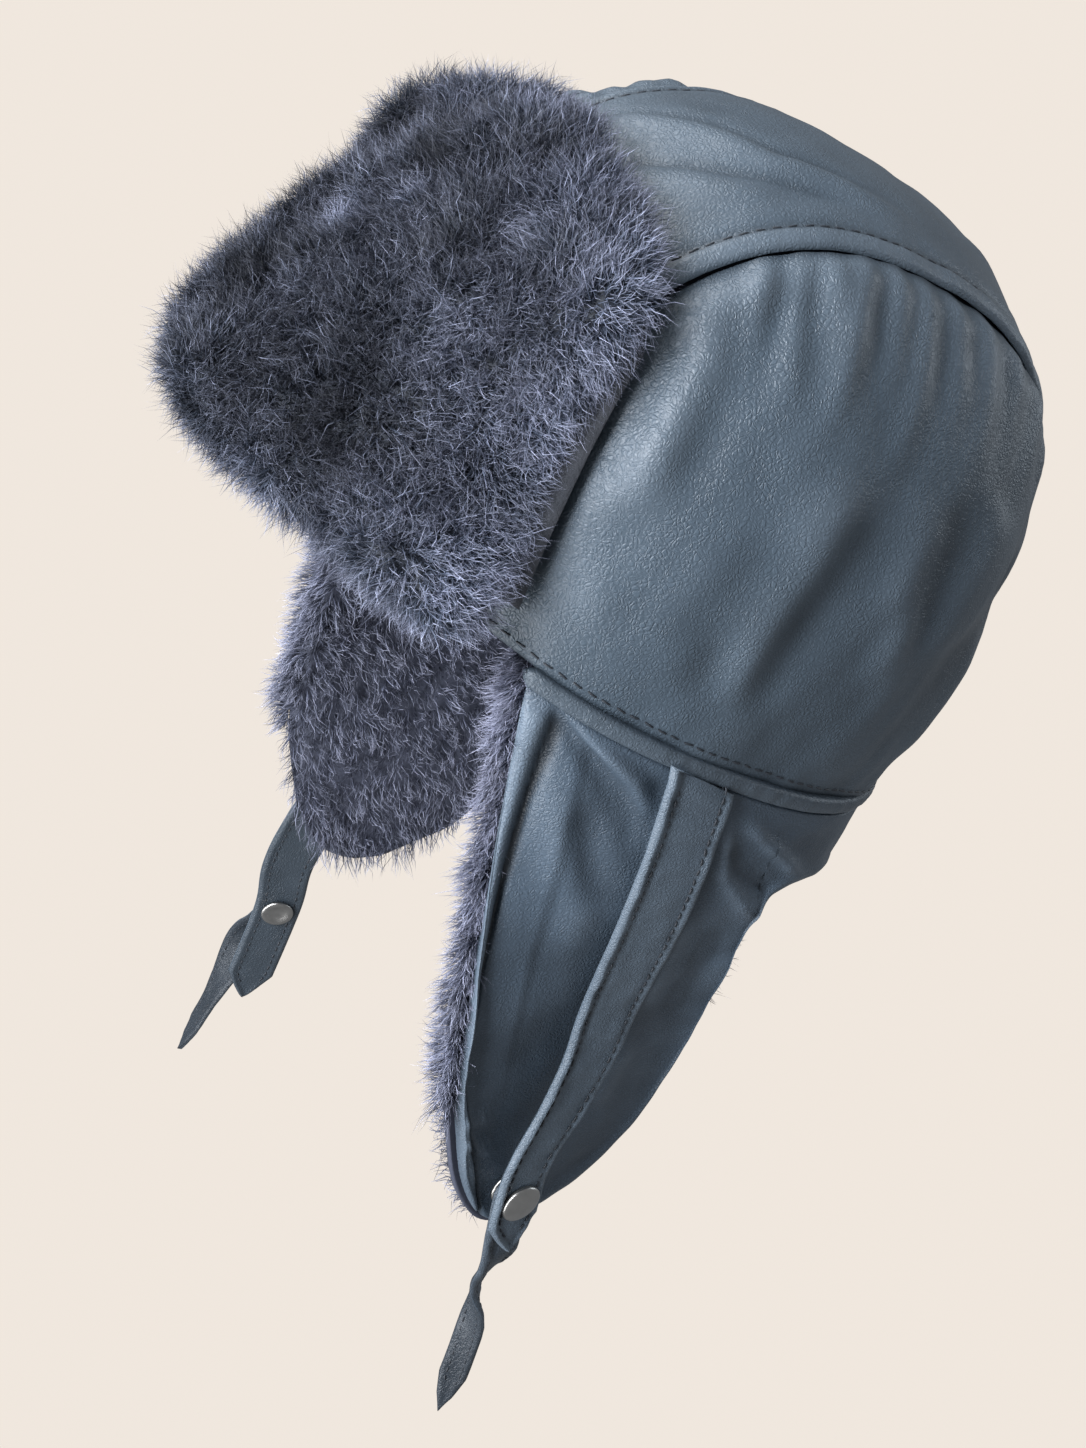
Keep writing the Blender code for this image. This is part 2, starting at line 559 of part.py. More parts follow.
def drill(target, centre, axis):
    """Cut a round hole for the snap's shank through a band."""
    r = SNAP_HOLE / 2.0
    vertices, faces = lathe([(r, -0.004), (r, 0.004)], centre, axis, 10)
    tool = build("snap_drill", vertices, faces, snap_mat)
    cut = target.modifiers.new("hole", "BOOLEAN")
    cut.object = tool
    cut.solver = "EXACT"
    bpy.context.view_layer.update()
    graph = bpy.context.evaluated_depsgraph_get()
    solid = bpy.data.meshes.new_from_object(target.evaluated_get(graph))
    target.modifiers.clear()
    old_mesh = target.data
    surface = old_mesh.materials[0]
    target.data = solid
    solid.name = target.name
    solid.materials.clear()
    solid.materials.append(surface)
    bpy.data.meshes.remove(old_mesh)
    bpy.data.objects.remove(tool, do_unlink=True)


# Straps with pointed ends lie on the flaps; the chin ties are snapped on behind their ends.
for side, label, strap_table, tie_table, face, bend_from in (
        (1, "left", LEFT_STRAP, LEFT_TIE, -1.0, 3.0),
        (-1, "right", RIGHT_STRAP, RIGHT_TIE, 1.0, 0.35)):
    steps = 17
    path, n, share = centre_line(strap_table, STRAP_LIE, STRAP_FREE, 0.46, side, steps)
    hole_height = strap_table["height"][-2] * FLAP_LENGTH
    at = int(np.abs(path[:, 2] - hole_height).argmin())
    width = STRAP_WIDTH + (STRAP_END_WIDTH - STRAP_WIDTH) * smooth(share, 0.6, 0.85)
    left = np.linalg.norm(path - path[-1], axis=-1)
    width = width * np.clip(0.16 + 0.84 * (left / STRAP_POINT) ** 0.8, 0.0, 1.0)
    centre, axis = ribbon("strap_" + label, path, n, width, STRAP_THICK, 0.0 * share, at, 1.0, trim_mat)
    tie_path, tie_n, tie_share = centre_line(tie_table, 0.0, 0.0, 0.0, side, 15)
    tie_hole = int(np.abs(tie_path[:, 2] - centre[2]).argmin())
    seat = centre + axis * (face * (STRAP_THICK * 1.24 + GAP))
    tie_path = tie_path + (seat - tie_path[tie_hole])
    tie_n = np.repeat(axis[None], len(tie_path), 0)
    below = centre[2] - tie_path[:, 2]
    bend = smooth(below / TIE_INWARD, bend_from, bend_from + 3.06)
    tie_path = tie_path + axis * (face * TIE_INWARD * bend)[:, None]
    knots = np.linspace(0.0, 1.0, len(tie_table["twist"]))
    twists = side * np.interp(tie_share, knots, tie_table["twist"])
    reach = np.minimum(np.linalg.norm(tie_path - tie_path[-1], axis=-1),
                       np.linalg.norm(tie_path - tie_path[0], axis=-1))
    width = TIE_WIDTH * np.clip(0.30 + 0.70 * np.sqrt(reach / TIE_POINT), 0.0, 1.0)
    ribbon("tie_" + label, tie_path, tie_n, width, TIE_THICK, twists, tie_hole, 0.0, trim_mat)
    lap = TIE_THICK * 1.24 + GAP
    seat = STRAP_THICK * 0.62 + GAP + (lap if face > 0.0 else 0.0)
    r, h = SNAP_CAP / 2.0, SNAP_CAP_HEIGHT
    low = -(STRAP_THICK * 0.62 + GAP + (lap if face < 0.0 else 0.0))
    disc, shank = SNAP_DISC / 2.0, SNAP_SHANK / 2.0
    profile = [(disc * 0.90, low - SNAP_DISC_THICK), (disc, low - SNAP_DISC_THICK * 0.6), (disc, low),
               (shank, low), (shank, seat), (r, seat), (r, seat + h * 0.30), (r * 0.93, seat + h * 0.62),
               (r * 0.72, seat + h * 0.88), (r * 0.38, seat + h)]
    vertices, faces = lathe(profile, centre, axis, 14)
    build("snap_" + label, vertices, faces, snap_mat)
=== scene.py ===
import math

import bmesh
import bpy
import numpy as np
from mathutils import Matrix, Vector


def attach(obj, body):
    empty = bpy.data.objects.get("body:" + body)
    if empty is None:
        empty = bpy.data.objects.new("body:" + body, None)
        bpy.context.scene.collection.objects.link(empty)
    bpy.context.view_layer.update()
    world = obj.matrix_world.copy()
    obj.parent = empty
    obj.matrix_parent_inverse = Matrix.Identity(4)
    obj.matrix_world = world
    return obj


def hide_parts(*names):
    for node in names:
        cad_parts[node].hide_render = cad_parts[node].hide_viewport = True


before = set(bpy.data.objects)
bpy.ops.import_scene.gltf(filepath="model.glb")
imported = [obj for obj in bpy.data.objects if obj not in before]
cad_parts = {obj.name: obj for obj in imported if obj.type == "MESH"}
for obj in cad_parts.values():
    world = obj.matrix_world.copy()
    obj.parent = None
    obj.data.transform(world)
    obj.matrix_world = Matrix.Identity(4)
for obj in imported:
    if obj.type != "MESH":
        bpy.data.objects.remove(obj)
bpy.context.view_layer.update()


# Studio: a seamless cream bowl round the hat, four soft round lamps and the camera.
# The hat leans in the photograph, and the camera carries that lean. The bowl's rim is outside the view.
CAMERA_PLACE = (0.4621, -0.2546, 0.3611)
CAMERA_AZIMUTH = 62.62
CAMERA_ELEVATION = 38.63
CAMERA_ROLL = 10.96
CAMERA_LENS = 54.70
BOWL_RADIUS = 4.0
BOWL_FLOOR = -0.95
BOWL_HEIGHT = 2.9
BOWL_CURVE = 1.2
CREAM = (0.87, 0.80, 0.73)
ROOM_COLOUR = (0.80, 0.84, 0.90, 1.0)
ROOM_STRENGTH = 0.30
LAMP_CENTRE = (0.0, 0.0, -0.02)
# Lamps: metres right, up and back of the hat as the camera sees it, width in metres, power in watts.
LAMPS = {
    "key_light": {"right": -0.80, "up": 0.32, "back": 1.20, "size": 0.8, "power": 38.0,
                  "colour": (0.93, 0.98, 1.06)},
    "top_light": {"right": -0.45, "up": 1.45, "back": 0.15, "size": 0.7, "power": 13.0,
                  "colour": (0.93, 0.975, 1.03)},
    "low_light": {"right": -0.90, "up": -0.55, "back": 0.45, "size": 1.0, "power": 14.0,
                  "colour": (0.96, 0.99, 1.04)},
    "fill_light": {"right": 1.35, "up": 0.35, "back": -0.45, "size": 0.8, "power": 4.0,
                   "colour": (0.80, 0.90, 1.0)},
}


def camera_axes(azimuth, elevation, roll):
    """Right, up and forward of a camera: level axes from azimuth and elevation, turned by the roll."""
    a, e, p = math.radians(azimuth), math.radians(elevation), math.radians(roll)
    level = np.array([math.cos(a), math.sin(a), 0.0])
    above = np.array([-math.sin(a) * math.sin(e), math.cos(a) * math.sin(e), math.cos(e)])
    ahead = np.array([-math.sin(a) * math.cos(e), math.cos(a) * math.cos(e), -math.sin(e)])
    right = math.cos(p) * level + math.sin(p) * above
    return right, -math.sin(p) * level + math.cos(p) * above, ahead


def make_mesh(name, points, faces, surface):
    """Mesh from an array of points and arrays of faces, one array for each number of corners."""
    points = np.ascontiguousarray(points, np.float32).reshape(-1, 3)
    mesh = bpy.data.meshes.new(name)
    mesh.vertices.add(len(points))
    mesh.vertices.foreach_set("co", points.ravel())
    corners = np.concatenate([np.asarray(block, np.int32).ravel() for block in faces])
    sizes = np.concatenate([np.full(len(block), np.asarray(block).shape[1], np.int32) for block in faces])
    mesh.loops.add(len(corners))
    mesh.loops.foreach_set("vertex_index", corners)
    mesh.polygons.add(len(sizes))
    mesh.polygons.foreach_set("loop_start", np.concatenate([[0], np.cumsum(sizes)[:-1]]).astype(np.int32))
    mesh.polygons.foreach_set("use_smooth", np.ones(len(sizes), bool))
    mesh.update(calc_edges=True)
    mesh.materials.append(surface)
    made = bpy.data.objects.new(name, mesh)
    bpy.context.scene.collection.objects.link(made)
    return made


def grid_faces(rows, columns, ring=False):
    """Quads of a grid of rows by columns of points; a ring joins the last column to the first."""
    i, j = np.meshgrid(np.arange(rows - 1), np.arange(columns if ring else columns - 1), indexing="ij")
    k = (j + 1) % columns
    quads = np.stack([i * columns + j, (i + 1) * columns + j, (i + 1) * columns + k, i * columns + k], -1)
    return quads.reshape(-1, 4)


bowl_mat = bpy.data.materials.new("cream_backdrop")
bowl_mat.use_nodes = True
nodes, links = bowl_mat.node_tree.nodes, bowl_mat.node_tree.links
nodes.clear()
out = nodes.new("ShaderNodeOutputMaterial")
mix = nodes.new("ShaderNodeMixShader")
path = nodes.new("ShaderNodeLightPath")
seen = nodes.new("ShaderNodeEmission")
lighting = nodes.new("ShaderNodeEmission")
seen.inputs["Color"].default_value = (*CREAM, 1.0)
seen.inputs["Strength"].default_value = 1.0
lighting.inputs["Color"].default_value = ROOM_COLOUR
lighting.inputs["Strength"].default_value = ROOM_STRENGTH
links.new(path.outputs["Is Camera Ray"], mix.inputs["Fac"])
links.new(lighting.outputs[0], mix.inputs[1])
links.new(seen.outputs[0], mix.inputs[2])
links.new(mix.outputs[0], out.inputs["Surface"])
# The bowl's profile: a flat floor, then a quarter round, then a wall.
turn = np.linspace(0.0, 2.0 * np.pi, 97)[:-1]
bend = np.linspace(0.0, np.pi / 2.0, 17)
radius = np.concatenate([[0.02], BOWL_RADIUS - BOWL_CURVE + BOWL_CURVE * np.sin(bend), [BOWL_RADIUS]])
height = np.concatenate([[0.0], BOWL_CURVE - BOWL_CURVE * np.cos(bend), [BOWL_HEIGHT]]) + BOWL_FLOOR
bowl_points = np.stack([radius[:, None] * np.cos(turn), radius[:, None] * np.sin(turn),
                        height[:, None] * np.ones(len(turn))], -1)
bowl_faces = [grid_faces(len(radius), len(turn), True)[:, ::-1], np.arange(len(turn))[None]]
make_mesh("backdrop", bowl_points, bowl_faces, bowl_mat)

world = bpy.data.worlds.new("studio")
world.use_nodes = True
world.node_tree.nodes["Background"].inputs["Color"].default_value = ROOM_COLOUR
world.node_tree.nodes["Background"].inputs["Strength"].default_value = ROOM_STRENGTH
bpy.context.scene.world = world
bpy.context.scene.view_settings.view_transform = "Standard"

right, above, ahead = camera_axes(CAMERA_AZIMUTH, CAMERA_ELEVATION, CAMERA_ROLL)
for name, row in LAMPS.items():
    place = np.array(LAMP_CENTRE) + row["right"] * right + row["up"] * above - row["back"] * ahead
    lamp = bpy.data.lights.new(name, "AREA")
    lamp.shape = "DISK"
    lamp.size = row["size"]
    lamp.energy = row["power"]
    lamp.color = row["colour"]
    holder = bpy.data.objects.new(name, lamp)
    holder.location = place
    holder.rotation_euler = (Vector((0.0, 0.0, 0.0)) - Vector(place)).to_track_quat("-Z", "Y").to_euler()
    bpy.context.scene.collection.objects.link(holder)

lens = bpy.data.cameras.new("camera")
lens.lens = CAMERA_LENS
lens.sensor_width = 36.0
lens.clip_start = 0.01
lens.clip_end = 50.0
camera = bpy.data.objects.new("camera", lens)
facing = Matrix((right, above, -ahead)).transposed()
camera.matrix_world = Matrix.Translation(CAMERA_PLACE) @ facing.to_4x4()
bpy.context.scene.collection.objects.link(camera)
bpy.context.scene.camera = camera


# Crown side panels: soft nappa leather, one piece a side, gathered into the centre strip at the upper back.
# The crown's shape is a stretched ball, cut at the rim plane, and the folds are raised on it along paths.
CROWN_HALF_WIDTH = 0.091
CROWN_FRONT = 0.090
CROWN_BACK = 0.098
CROWN_UP = 0.121
CROWN_DOWN = 0.126
CROWN_POWER = 2.46
CROWN_TILT = 24.3
CROWN_MIDDLE = (0.0, -0.0027, 0.0153)
RIM_TILT = 29.0
STRIP_HALF_WIDTH = 0.044
LEATHER = 0.0020
GAP = 0.0004
EDGE_ROUND = 0.0009
TUCKED = -0.0010
MERGE_BELOW = 0.000012
NEEDLE_BELOW = 0.000004
PANEL_LONG = 0.200
PANEL_HIGH = 0.112
PANEL_COLOUR = (0.066, 0.090, 0.114)
# Lighter colour mixed in for wear and painted highlight on raised folds and beads.
PANEL_WEAR_AND_HIGHLIGHT = (0.120, 0.150, 0.180)
FAR_SHIFT = 0.021
GATHER_DEEPER = 1.25
# Folds of a side panel: a path of shares from front to back and from rim to seam, width and rise in mm.
PANEL_FOLDS = (
    {"path": ((0.335, 0.98), (0.325, 0.84), (0.312, 0.72), (0.294, 0.60), (0.262, 0.46)),
     "width": 6.5, "rise": 3.3},
    {"path": ((0.362, 0.93), (0.345, 0.82), (0.331, 0.66), (0.305, 0.52)), "width": 4.5, "rise": -2.0},
    {"path": ((0.296, 0.92), (0.285, 0.82), (0.262, 0.68)), "width": 6.0, "rise": -1.3},
    {"path": ((0.446, 0.66), (0.443, 0.49), (0.431, 0.34), (0.440, 0.10)), "width": 5.6, "rise": 2.9},
    {"path": ((0.474, 0.62), (0.470, 0.45), (0.460, 0.30), (0.468, 0.12)), "width": 5.0, "rise": -1.9},
    {"path": ((0.405, 0.52), (0.400, 0.30), (0.408, 0.10)), "width": 7.0, "rise": -1.0},
    {"path": ((0.518, 0.68), (0.540, 0.50), (0.570, 0.40), (0.625, 0.26)), "width": 4.5, "rise": 2.0},
    {"path": ((0.545, 0.70), (0.570, 0.55), (0.605, 0.42)), "width": 4.6, "rise": -1.7},
    {"path": ((0.600, 0.76), (0.602, 0.55), (0.630, 0.38)), "width": 6.0, "rise": 1.8},
    {"path": ((0.740, 0.86), (0.700, 0.60), (0.680, 0.30)), "width": 8.0, "rise": -1.9},
    {"path": ((0.800, 0.80), (0.770, 0.50), (0.780, 0.15)), "width": 8.0, "rise": 2.0},
    {"path": ((0.170, 0.70), (0.180, 0.45), (0.160, 0.20)), "width": 10.0, "rise": -1.6},
)
# Gathers down from the seam: where each starts, its drift, how far down it ends, width and rise in mm.
PANEL_GATHERS = {
    "start": (0.352, 0.376, 0.398, 0.421, 0.446, 0.472, 0.500, 0.530, 0.565, 0.606, 0.655),
    "drift": (0.004, 0.008, 0.010, -0.006, 0.014, 0.010, 0.018, 0.020, 0.024, 0.028, 0.030),
    "end": (0.74, 0.68, 0.76, 0.64, 0.74, 0.62, 0.72, 0.70, 0.78, 0.76, 0.80),
    "width": (2.2, 2.0, 2.3, 2.4, 2.1, 2.4, 2.3, 2.6, 2.5, 2.8, 3.0),
    "rise": (2.3, 2.0, 2.6, 2.9, 2.2, 2.5, 2.2, 2.0, 1.6, 1.5, 1.3),
}


def smooth(x, low, high):
    """Rise smoothly from 0 at low to 1 at high: 3t squared less 2t cubed."""
    t = np.clip((np.asarray(x, float) - low) / (high - low), 0.0, 1.0)
    return t * t * (3.0 - 2.0 * t)


def tilt(points, degrees):
    """Turn points about X so that what stands up leans to the back."""
    a = math.radians(degrees)
    x, y, z = points[..., 0], points[..., 1], points[..., 2]
    return np.stack([x, y * math.cos(a) + z * math.sin(a), z * math.cos(a) - y * math.sin(a)], -1)


def direction(theta, phi):
    """Unit direction from an azimuth, 0 at the front and 90 at the wearer's left, and an elevation."""
    theta, phi = np.broadcast_arrays(theta, phi)
    flat = np.cos(phi)
    return np.stack([np.sin(theta) * flat, -np.cos(theta) * flat, np.sin(phi)], -1)


def crown(d, offset=0.0):
    """Crown point in a direction: powers of its shares of the axes sum to 1; offset along the normal."""
    d = np.asarray(d, float)
    long = np.where(d[..., 1] < 0.0, CROWN_FRONT, CROWN_BACK)
    high = np.where(d[..., 2] > 0.0, CROWN_UP, CROWN_DOWN)
    axes = np.stack([np.full(long.shape, CROWN_HALF_WIDTH), long, high], -1)
    total = (np.abs(d / axes) ** CROWN_POWER).sum(-1)
    local = d * (total ** (-1.0 / CROWN_POWER))[..., None]
    n = np.sign(local) * np.abs(local) ** (CROWN_POWER - 1.0) / axes ** CROWN_POWER
    n /= np.linalg.norm(n, axis=-1, keepdims=True)
    base = tilt(local, CROWN_TILT) + np.array(CROWN_MIDDLE)
    return base + tilt(n, CROWN_TILT) * np.asarray(offset, float)[..., None]


def over_rim(points):
    """Height of points over the tilted plane of the crown's lower seam."""
    a = math.radians(RIM_TILT)
    return points[..., 2] * math.cos(a) + points[..., 1] * math.sin(a)


def rim_phi(theta, lift=0.0):
    """Elevation at which the crown meets the rim plane, found by halving."""
    theta = np.asarray(theta, float)
    low = np.full(theta.shape, -1.45)
    high = np.full(theta.shape, 0.9)
    for _ in range(36):
        middle = (low + high) / 2.0
        over = over_rim(crown(direction(theta, middle))) > lift
        high = np.where(over, middle, high)
        low = np.where(over, low, middle)
    return (low + high) / 2.0


def seam_direction(alpha, half_width, side):
    """Direction of the strip's edge at an angle over the crown, found by halving."""
    alpha = np.asarray(alpha, float)
    low = np.zeros(alpha.shape)
    high = np.full(alpha.shape, 1.5)
    for _ in range(36):
        middle = (low + high) / 2.0
        reach = np.cos(middle)
        d = np.stack([np.sin(middle), -reach * np.cos(alpha), reach * np.sin(alpha)], -1)
        wide = crown(d)[..., 0] > half_width
        high = np.where(wide, middle, high)
        low = np.where(wide, low, middle)
    d[..., 0] *= side
    return d


def seam_limits(half_width, lift):
    """Angles over the crown at which the strip's edge meets the rim, front and back."""
    ends = []
    for start, stop in ((-0.9, 1.2), (4.0, 1.9)):
        low, high = start, stop
        for _ in range(36):
            middle = (low + high) / 2.0
            over = over_rim(crown(seam_direction(middle, half_width, 1))) > lift
            low, high = (low, middle) if over else (middle, high)
        ends.append((low + high) / 2.0)
    return ends


def waves(points, size, seed, count=14):
    """Smooth seeded relief from -1 to 1 or so: a sum of waves of one length in random directions."""
    rng = np.random.RandomState(seed)
    aim = rng.normal(size=(count, 3))
    aim /= np.linalg.norm(aim, axis=1, keepdims=True)
    aim *= (2.0 * np.pi / size) * rng.uniform(0.7, 1.3, (count, 1))
    start = rng.uniform(0.0, 2.0 * np.pi, count)
    flat = points.reshape(-1, 3)
    total = np.zeros(len(flat))
    for k in range(count):
        total += np.cos(flat @ aim[k] + start[k])
    return (total / math.sqrt(count * 0.9)).reshape(points.shape[:-1])


def bell(distance, width):
    """Bell curve: e to the power of less the square of the distance over the width."""
    return np.exp(-(distance / width) ** 2)


def ridge(x, y, path, width, fade=(0.15, 0.35)):
    """Bell of the distance from a path over a width, dying out towards the path's two ends."""
    path = np.asarray(path, float)
    steps = np.linalg.norm(np.diff(path, axis=0), axis=1)
    before = np.concatenate([[0.0], np.cumsum(steps)])
    nearest = np.full(x.shape, 1e9)
    along = np.zeros(x.shape)
    for k in range(len(steps)):
        a, b = path[k], path[k + 1]
        d = (b - a) / steps[k]
        s = np.clip((x - a[0]) * d[0] + (y - a[1]) * d[1], 0.0, steps[k])
        gap = np.hypot(x - a[0] - d[0] * s, y - a[1] - d[1] * s)
        closer = gap < nearest
        along = np.where(closer, (before[k] + s) / before[-1], along)
        nearest = np.where(closer, gap, nearest)
    dying_out = smooth(along, 0.0, fade[0] + 1e-6), smooth(1.0 - along, 0.0, fade[1] + 1e-6)
    return bell(nearest, width) * dying_out[0] * dying_out[1]


def crowded(count, pull=0.86):
    """Shares from 0 to 1 that crowd towards both ends: x less a part of a sine."""
    x = np.linspace(0.0, 1.0, count)
    return x - pull * np.sin(2.0 * np.pi * x) / (2.0 * np.pi)


def lengths(points, axis):
    """Distance along one axis of a grid from its start, and to its end."""
    steps = np.linalg.norm(np.diff(points, axis=axis), axis=-1)
    run = np.cumsum(steps, axis=axis)
    pad = [(0, 0), (0, 0)]
    pad[axis] = (1, 0)
    run = np.pad(run, pad)
    return run, np.take(run, [-1], axis=axis) - run


def rounding(distance, radius):
    """Drop of a rounded edge at a distance from it: a quarter circle of the radius."""
    u = np.clip(1.0 - distance / radius, 0.0, 1.0)
    return radius * (1.0 - np.sqrt(np.maximum(1.0 - u * u, 0.0)))


def finish(made):
    """Merge doubled points of a closed skin and turn its faces outwards."""
    work = bmesh.new()
    work.from_mesh(made.data)
    bmesh.ops.remove_doubles(work, verts=work.verts, dist=MERGE_BELOW)
    bmesh.ops.dissolve_degenerate(work, edges=work.edges, dist=NEEDLE_BELOW)
    bmesh.ops.recalc_face_normals(work, faces=work.faces)
    if work.calc_volume(signed=True) < 0.0:
        bmesh.ops.reverse_faces(work, faces=work.faces)
    work.to_mesh(made.data)
    work.free()
    made.data.polygons.foreach_set("use_smooth", np.ones(len(made.data.polygons), bool))
    made.data.update()


def add_values(made, name, values):
    """Store one number a point under a name."""
    layer = made.data.attributes.new(name, "FLOAT", "POINT")
    layer.data.foreach_set("value", np.ascontiguousarray(values, np.float32).ravel())


def skin(name, outer, inner, surface, **values):
    """Closed wall from two matching grids: both faces and a strip of quads round the border."""
    rows, columns = outer.shape[:2]
    count = rows * columns
    index = np.arange(count).reshape(rows, columns)
    border = np.concatenate([index[:, 0], index[-1, 1:], index[-2::-1, -1], index[0, -2:0:-1]])
    after = np.roll(border, -1)
    wall = np.stack([border, after, after + count, border + count], -1)
    quads = grid_faces(rows, columns)
    made = make_mesh(name, np.concatenate([outer.reshape(-1, 3), inner.reshape(-1, 3)]),
                     [quads, quads[:, ::-1] + count, wall], surface)
    for key, grid in values.items():
        add_values(made, key, np.concatenate([grid.ravel(), grid.ravel()]))
    finish(made)
    return made


def group_of(name, inputs, outputs):
    """New shader node group with named inputs and outputs; returns it with its two end nodes."""
    group = bpy.data.node_groups.new(name, "ShaderNodeTree")
    kinds = {"value": "NodeSocketFloat", "colour": "NodeSocketColor"}
    for label, kind, start in inputs:
        socket = group.interface.new_socket(label, in_out="INPUT", socket_type=kinds[kind])
        socket.default_value = start
    for label, kind in outputs:
        group.interface.new_socket(label, in_out="OUTPUT", socket_type=kinds[kind])
    return group, group.nodes.new("NodeGroupInput"), group.nodes.new("NodeGroupOutput")


def put(tree, kind, settings=(), **inputs):
    """Add a node, set its settings, and fill inputs from numbers or from other nodes' outputs."""
    node = tree.nodes.new(kind)
    for key, value in dict(settings).items():
        setattr(node, key, value)
    for key, value in inputs.items():
        socket = node.inputs[int(key[1:])] if key[0] == "i" and key[1:].isdigit() else node.inputs[key]
        if isinstance(value, bpy.types.NodeSocket):
            tree.links.new(value, socket)
        else:
            socket.default_value = value
    return node


# Grain of soft nappa leather: bent hair-line creases between pebbles, with painted shade in the creases, and
# mottling of the dye; a lighter colour is mixed in for wear and painted highlight, and a painted shade input
# darkens it.
GRAIN_HEIGHT = 0.00024
grain_group, grain_in, grain_out = group_of(
    "nappa_grain",
    (("Colour", "colour", (0.07, 0.09, 0.11, 1.0)), ("Wear And Highlight Colour", "colour", (0.12, 0.15, 0.18, 1.0)),
     ("Grain Scale", "value", 820.0), ("Crease Depth", "value", 0.6), ("Worn", "value", 0.0),
     ("Darkened", "value", 0.0), ("Roughness", "value", 0.42)),
    (("Colour", "colour"), ("Roughness", "value"), ("Height", "value")))
spot = put(grain_group, "ShaderNodeTexCoord").outputs["Object"]
bendy = put(grain_group, "ShaderNodeTexNoise", Vector=spot, Scale=330.0, Detail=2.0)
shift = put(grain_group, "ShaderNodeVectorMath", {"operation": "MULTIPLY_ADD"}, i0=bendy.outputs["Color"],
            i1=(0.0030, 0.0030, 0.0030), i2=spot)
cells = put(grain_group, "ShaderNodeTexVoronoi", {"feature": "DISTANCE_TO_EDGE"}, Vector=shift.outputs[0],
            Scale=grain_in.outputs["Grain Scale"])
pebble = put(grain_group, "ShaderNodeMapRange", {"interpolation_type": "SMOOTHSTEP"},
             Value=cells.outputs["Distance"])
pebble.inputs["From Max"].default_value = 0.30
fine = put(grain_group, "ShaderNodeTexNoise", Vector=shift.outputs[0], Scale=1500.0, Detail=3.0,
           Roughness=0.6)
patch = put(grain_group, "ShaderNodeTexNoise", Vector=spot, Scale=120.0, Detail=3.0)
depth = put(grain_group, "ShaderNodeMath", {"operation": "MULTIPLY"}, i0=pebble.outputs["Result"],
            i1=grain_in.outputs["Crease Depth"])
depth = put(grain_group, "ShaderNodeMath", {"operation": "MULTIPLY"}, i0=depth.outputs[0],
            i1=patch.outputs["Fac"])
height = put(grain_group, "ShaderNodeMath", {"operation": "MULTIPLY_ADD"}, i0=fine.outputs["Fac"], i1=0.45,
             i2=depth.outputs[0])
cloud = put(grain_group, "ShaderNodeTexNoise", Vector=spot, Scale=26.0, Detail=4.0, Roughness=0.55)
dye = put(grain_group, "ShaderNodeMapRange", Value=cloud.outputs["Fac"])
dye.inputs["From Min"].default_value = 0.30
dye.inputs["From Max"].default_value = 0.70
dye.inputs["To Min"].default_value = 0.86
dye.inputs["To Max"].default_value = 1.12
# Mixed towards the lighter colour for wear and painted highlight.
tone = put(grain_group, "ShaderNodeMix", {"data_type": "RGBA"}, i0=grain_in.outputs["Worn"],
           i6=grain_in.outputs["Colour"], i7=grain_in.outputs["Wear And Highlight Colour"])
# Painted shade: the colour is darkened in the grain's creases.
crease_shade = put(grain_group, "ShaderNodeMapRange", Value=pebble.outputs["Result"])
crease_shade.inputs["To Min"].default_value = 0.86
both = put(grain_group, "ShaderNodeMath", {"operation": "MULTIPLY"}, i0=dye.outputs[0], i1=crease_shade.outputs[0])
# Painted shade: the colour is darkened by the painted shade input.
light = put(grain_group, "ShaderNodeMath", {"operation": "SUBTRACT"}, i0=1.0, i1=grain_in.outputs["Darkened"])
both = put(grain_group, "ShaderNodeMath", {"operation": "MULTIPLY"}, i0=both.outputs[0], i1=light.outputs[0])
shaded = put(grain_group, "ShaderNodeVectorMath", {"operation": "SCALE"}, i0=tone.outputs[2])
grain_group.links.new(both.outputs[0], shaded.inputs["Scale"])
rough = put(grain_group, "ShaderNodeMath", {"operation": "MULTIPLY_ADD"}, i0=cloud.outputs["Fac"], i1=0.10,
            i2=grain_in.outputs["Roughness"])
grain_group.links.new(shaded.outputs[0], grain_out.inputs["Colour"])
grain_group.links.new(rough.outputs[0], grain_out.inputs["Roughness"])
grain_group.links.new(height.outputs[0], grain_out.inputs["Height"])


def leather(name, colour, worn, scale, depth, roughness):
    """Semi-gloss dyed leather: the grain group with its own colours, its height as a bump; mesh attributes
    lighten it for wear and painted highlight and darken it as painted shade.
    """
    made = bpy.data.materials.new(name)
    made.use_nodes = True
    tree = made.node_tree
    shader = tree.nodes["Principled BSDF"]
    wear_and_highlight_at = put(tree, "ShaderNodeAttribute", {"attribute_name": "worn"})
    painted_shade_at = put(tree, "ShaderNodeAttribute", {"attribute_name": "dark"})
    finish_at = put(tree, "ShaderNodeGroup", {"node_tree": grain_group}, Worn=wear_and_highlight_at.outputs["Fac"],
                    Darkened=painted_shade_at.outputs["Fac"])
    finish_at.inputs["Colour"].default_value = (*colour, 1.0)
    finish_at.inputs["Wear And Highlight Colour"].default_value = (*worn, 1.0)
    finish_at.inputs["Grain Scale"].default_value = scale
    finish_at.inputs["Crease Depth"].default_value = depth
    finish_at.inputs["Roughness"].default_value = roughness
    raised = put(tree, "ShaderNodeBump", Height=finish_at.outputs["Height"])
    raised.inputs["Strength"].default_value = 1.0
    raised.inputs["Distance"].default_value = GRAIN_HEIGHT
    tree.links.new(finish_at.outputs["Colour"], shader.inputs["Base Color"])
    tree.links.new(finish_at.outputs["Roughness"], shader.inputs["Roughness"])
    tree.links.new(raised.outputs["Normal"], shader.inputs["Normal"])
    shader.inputs["Specular IOR Level"].default_value = 0.55
    return made


panel_mat = leather("panel_leather", PANEL_COLOUR, PANEL_WEAR_AND_HIGHLIGHT, 820.0, 0.8, 0.39)

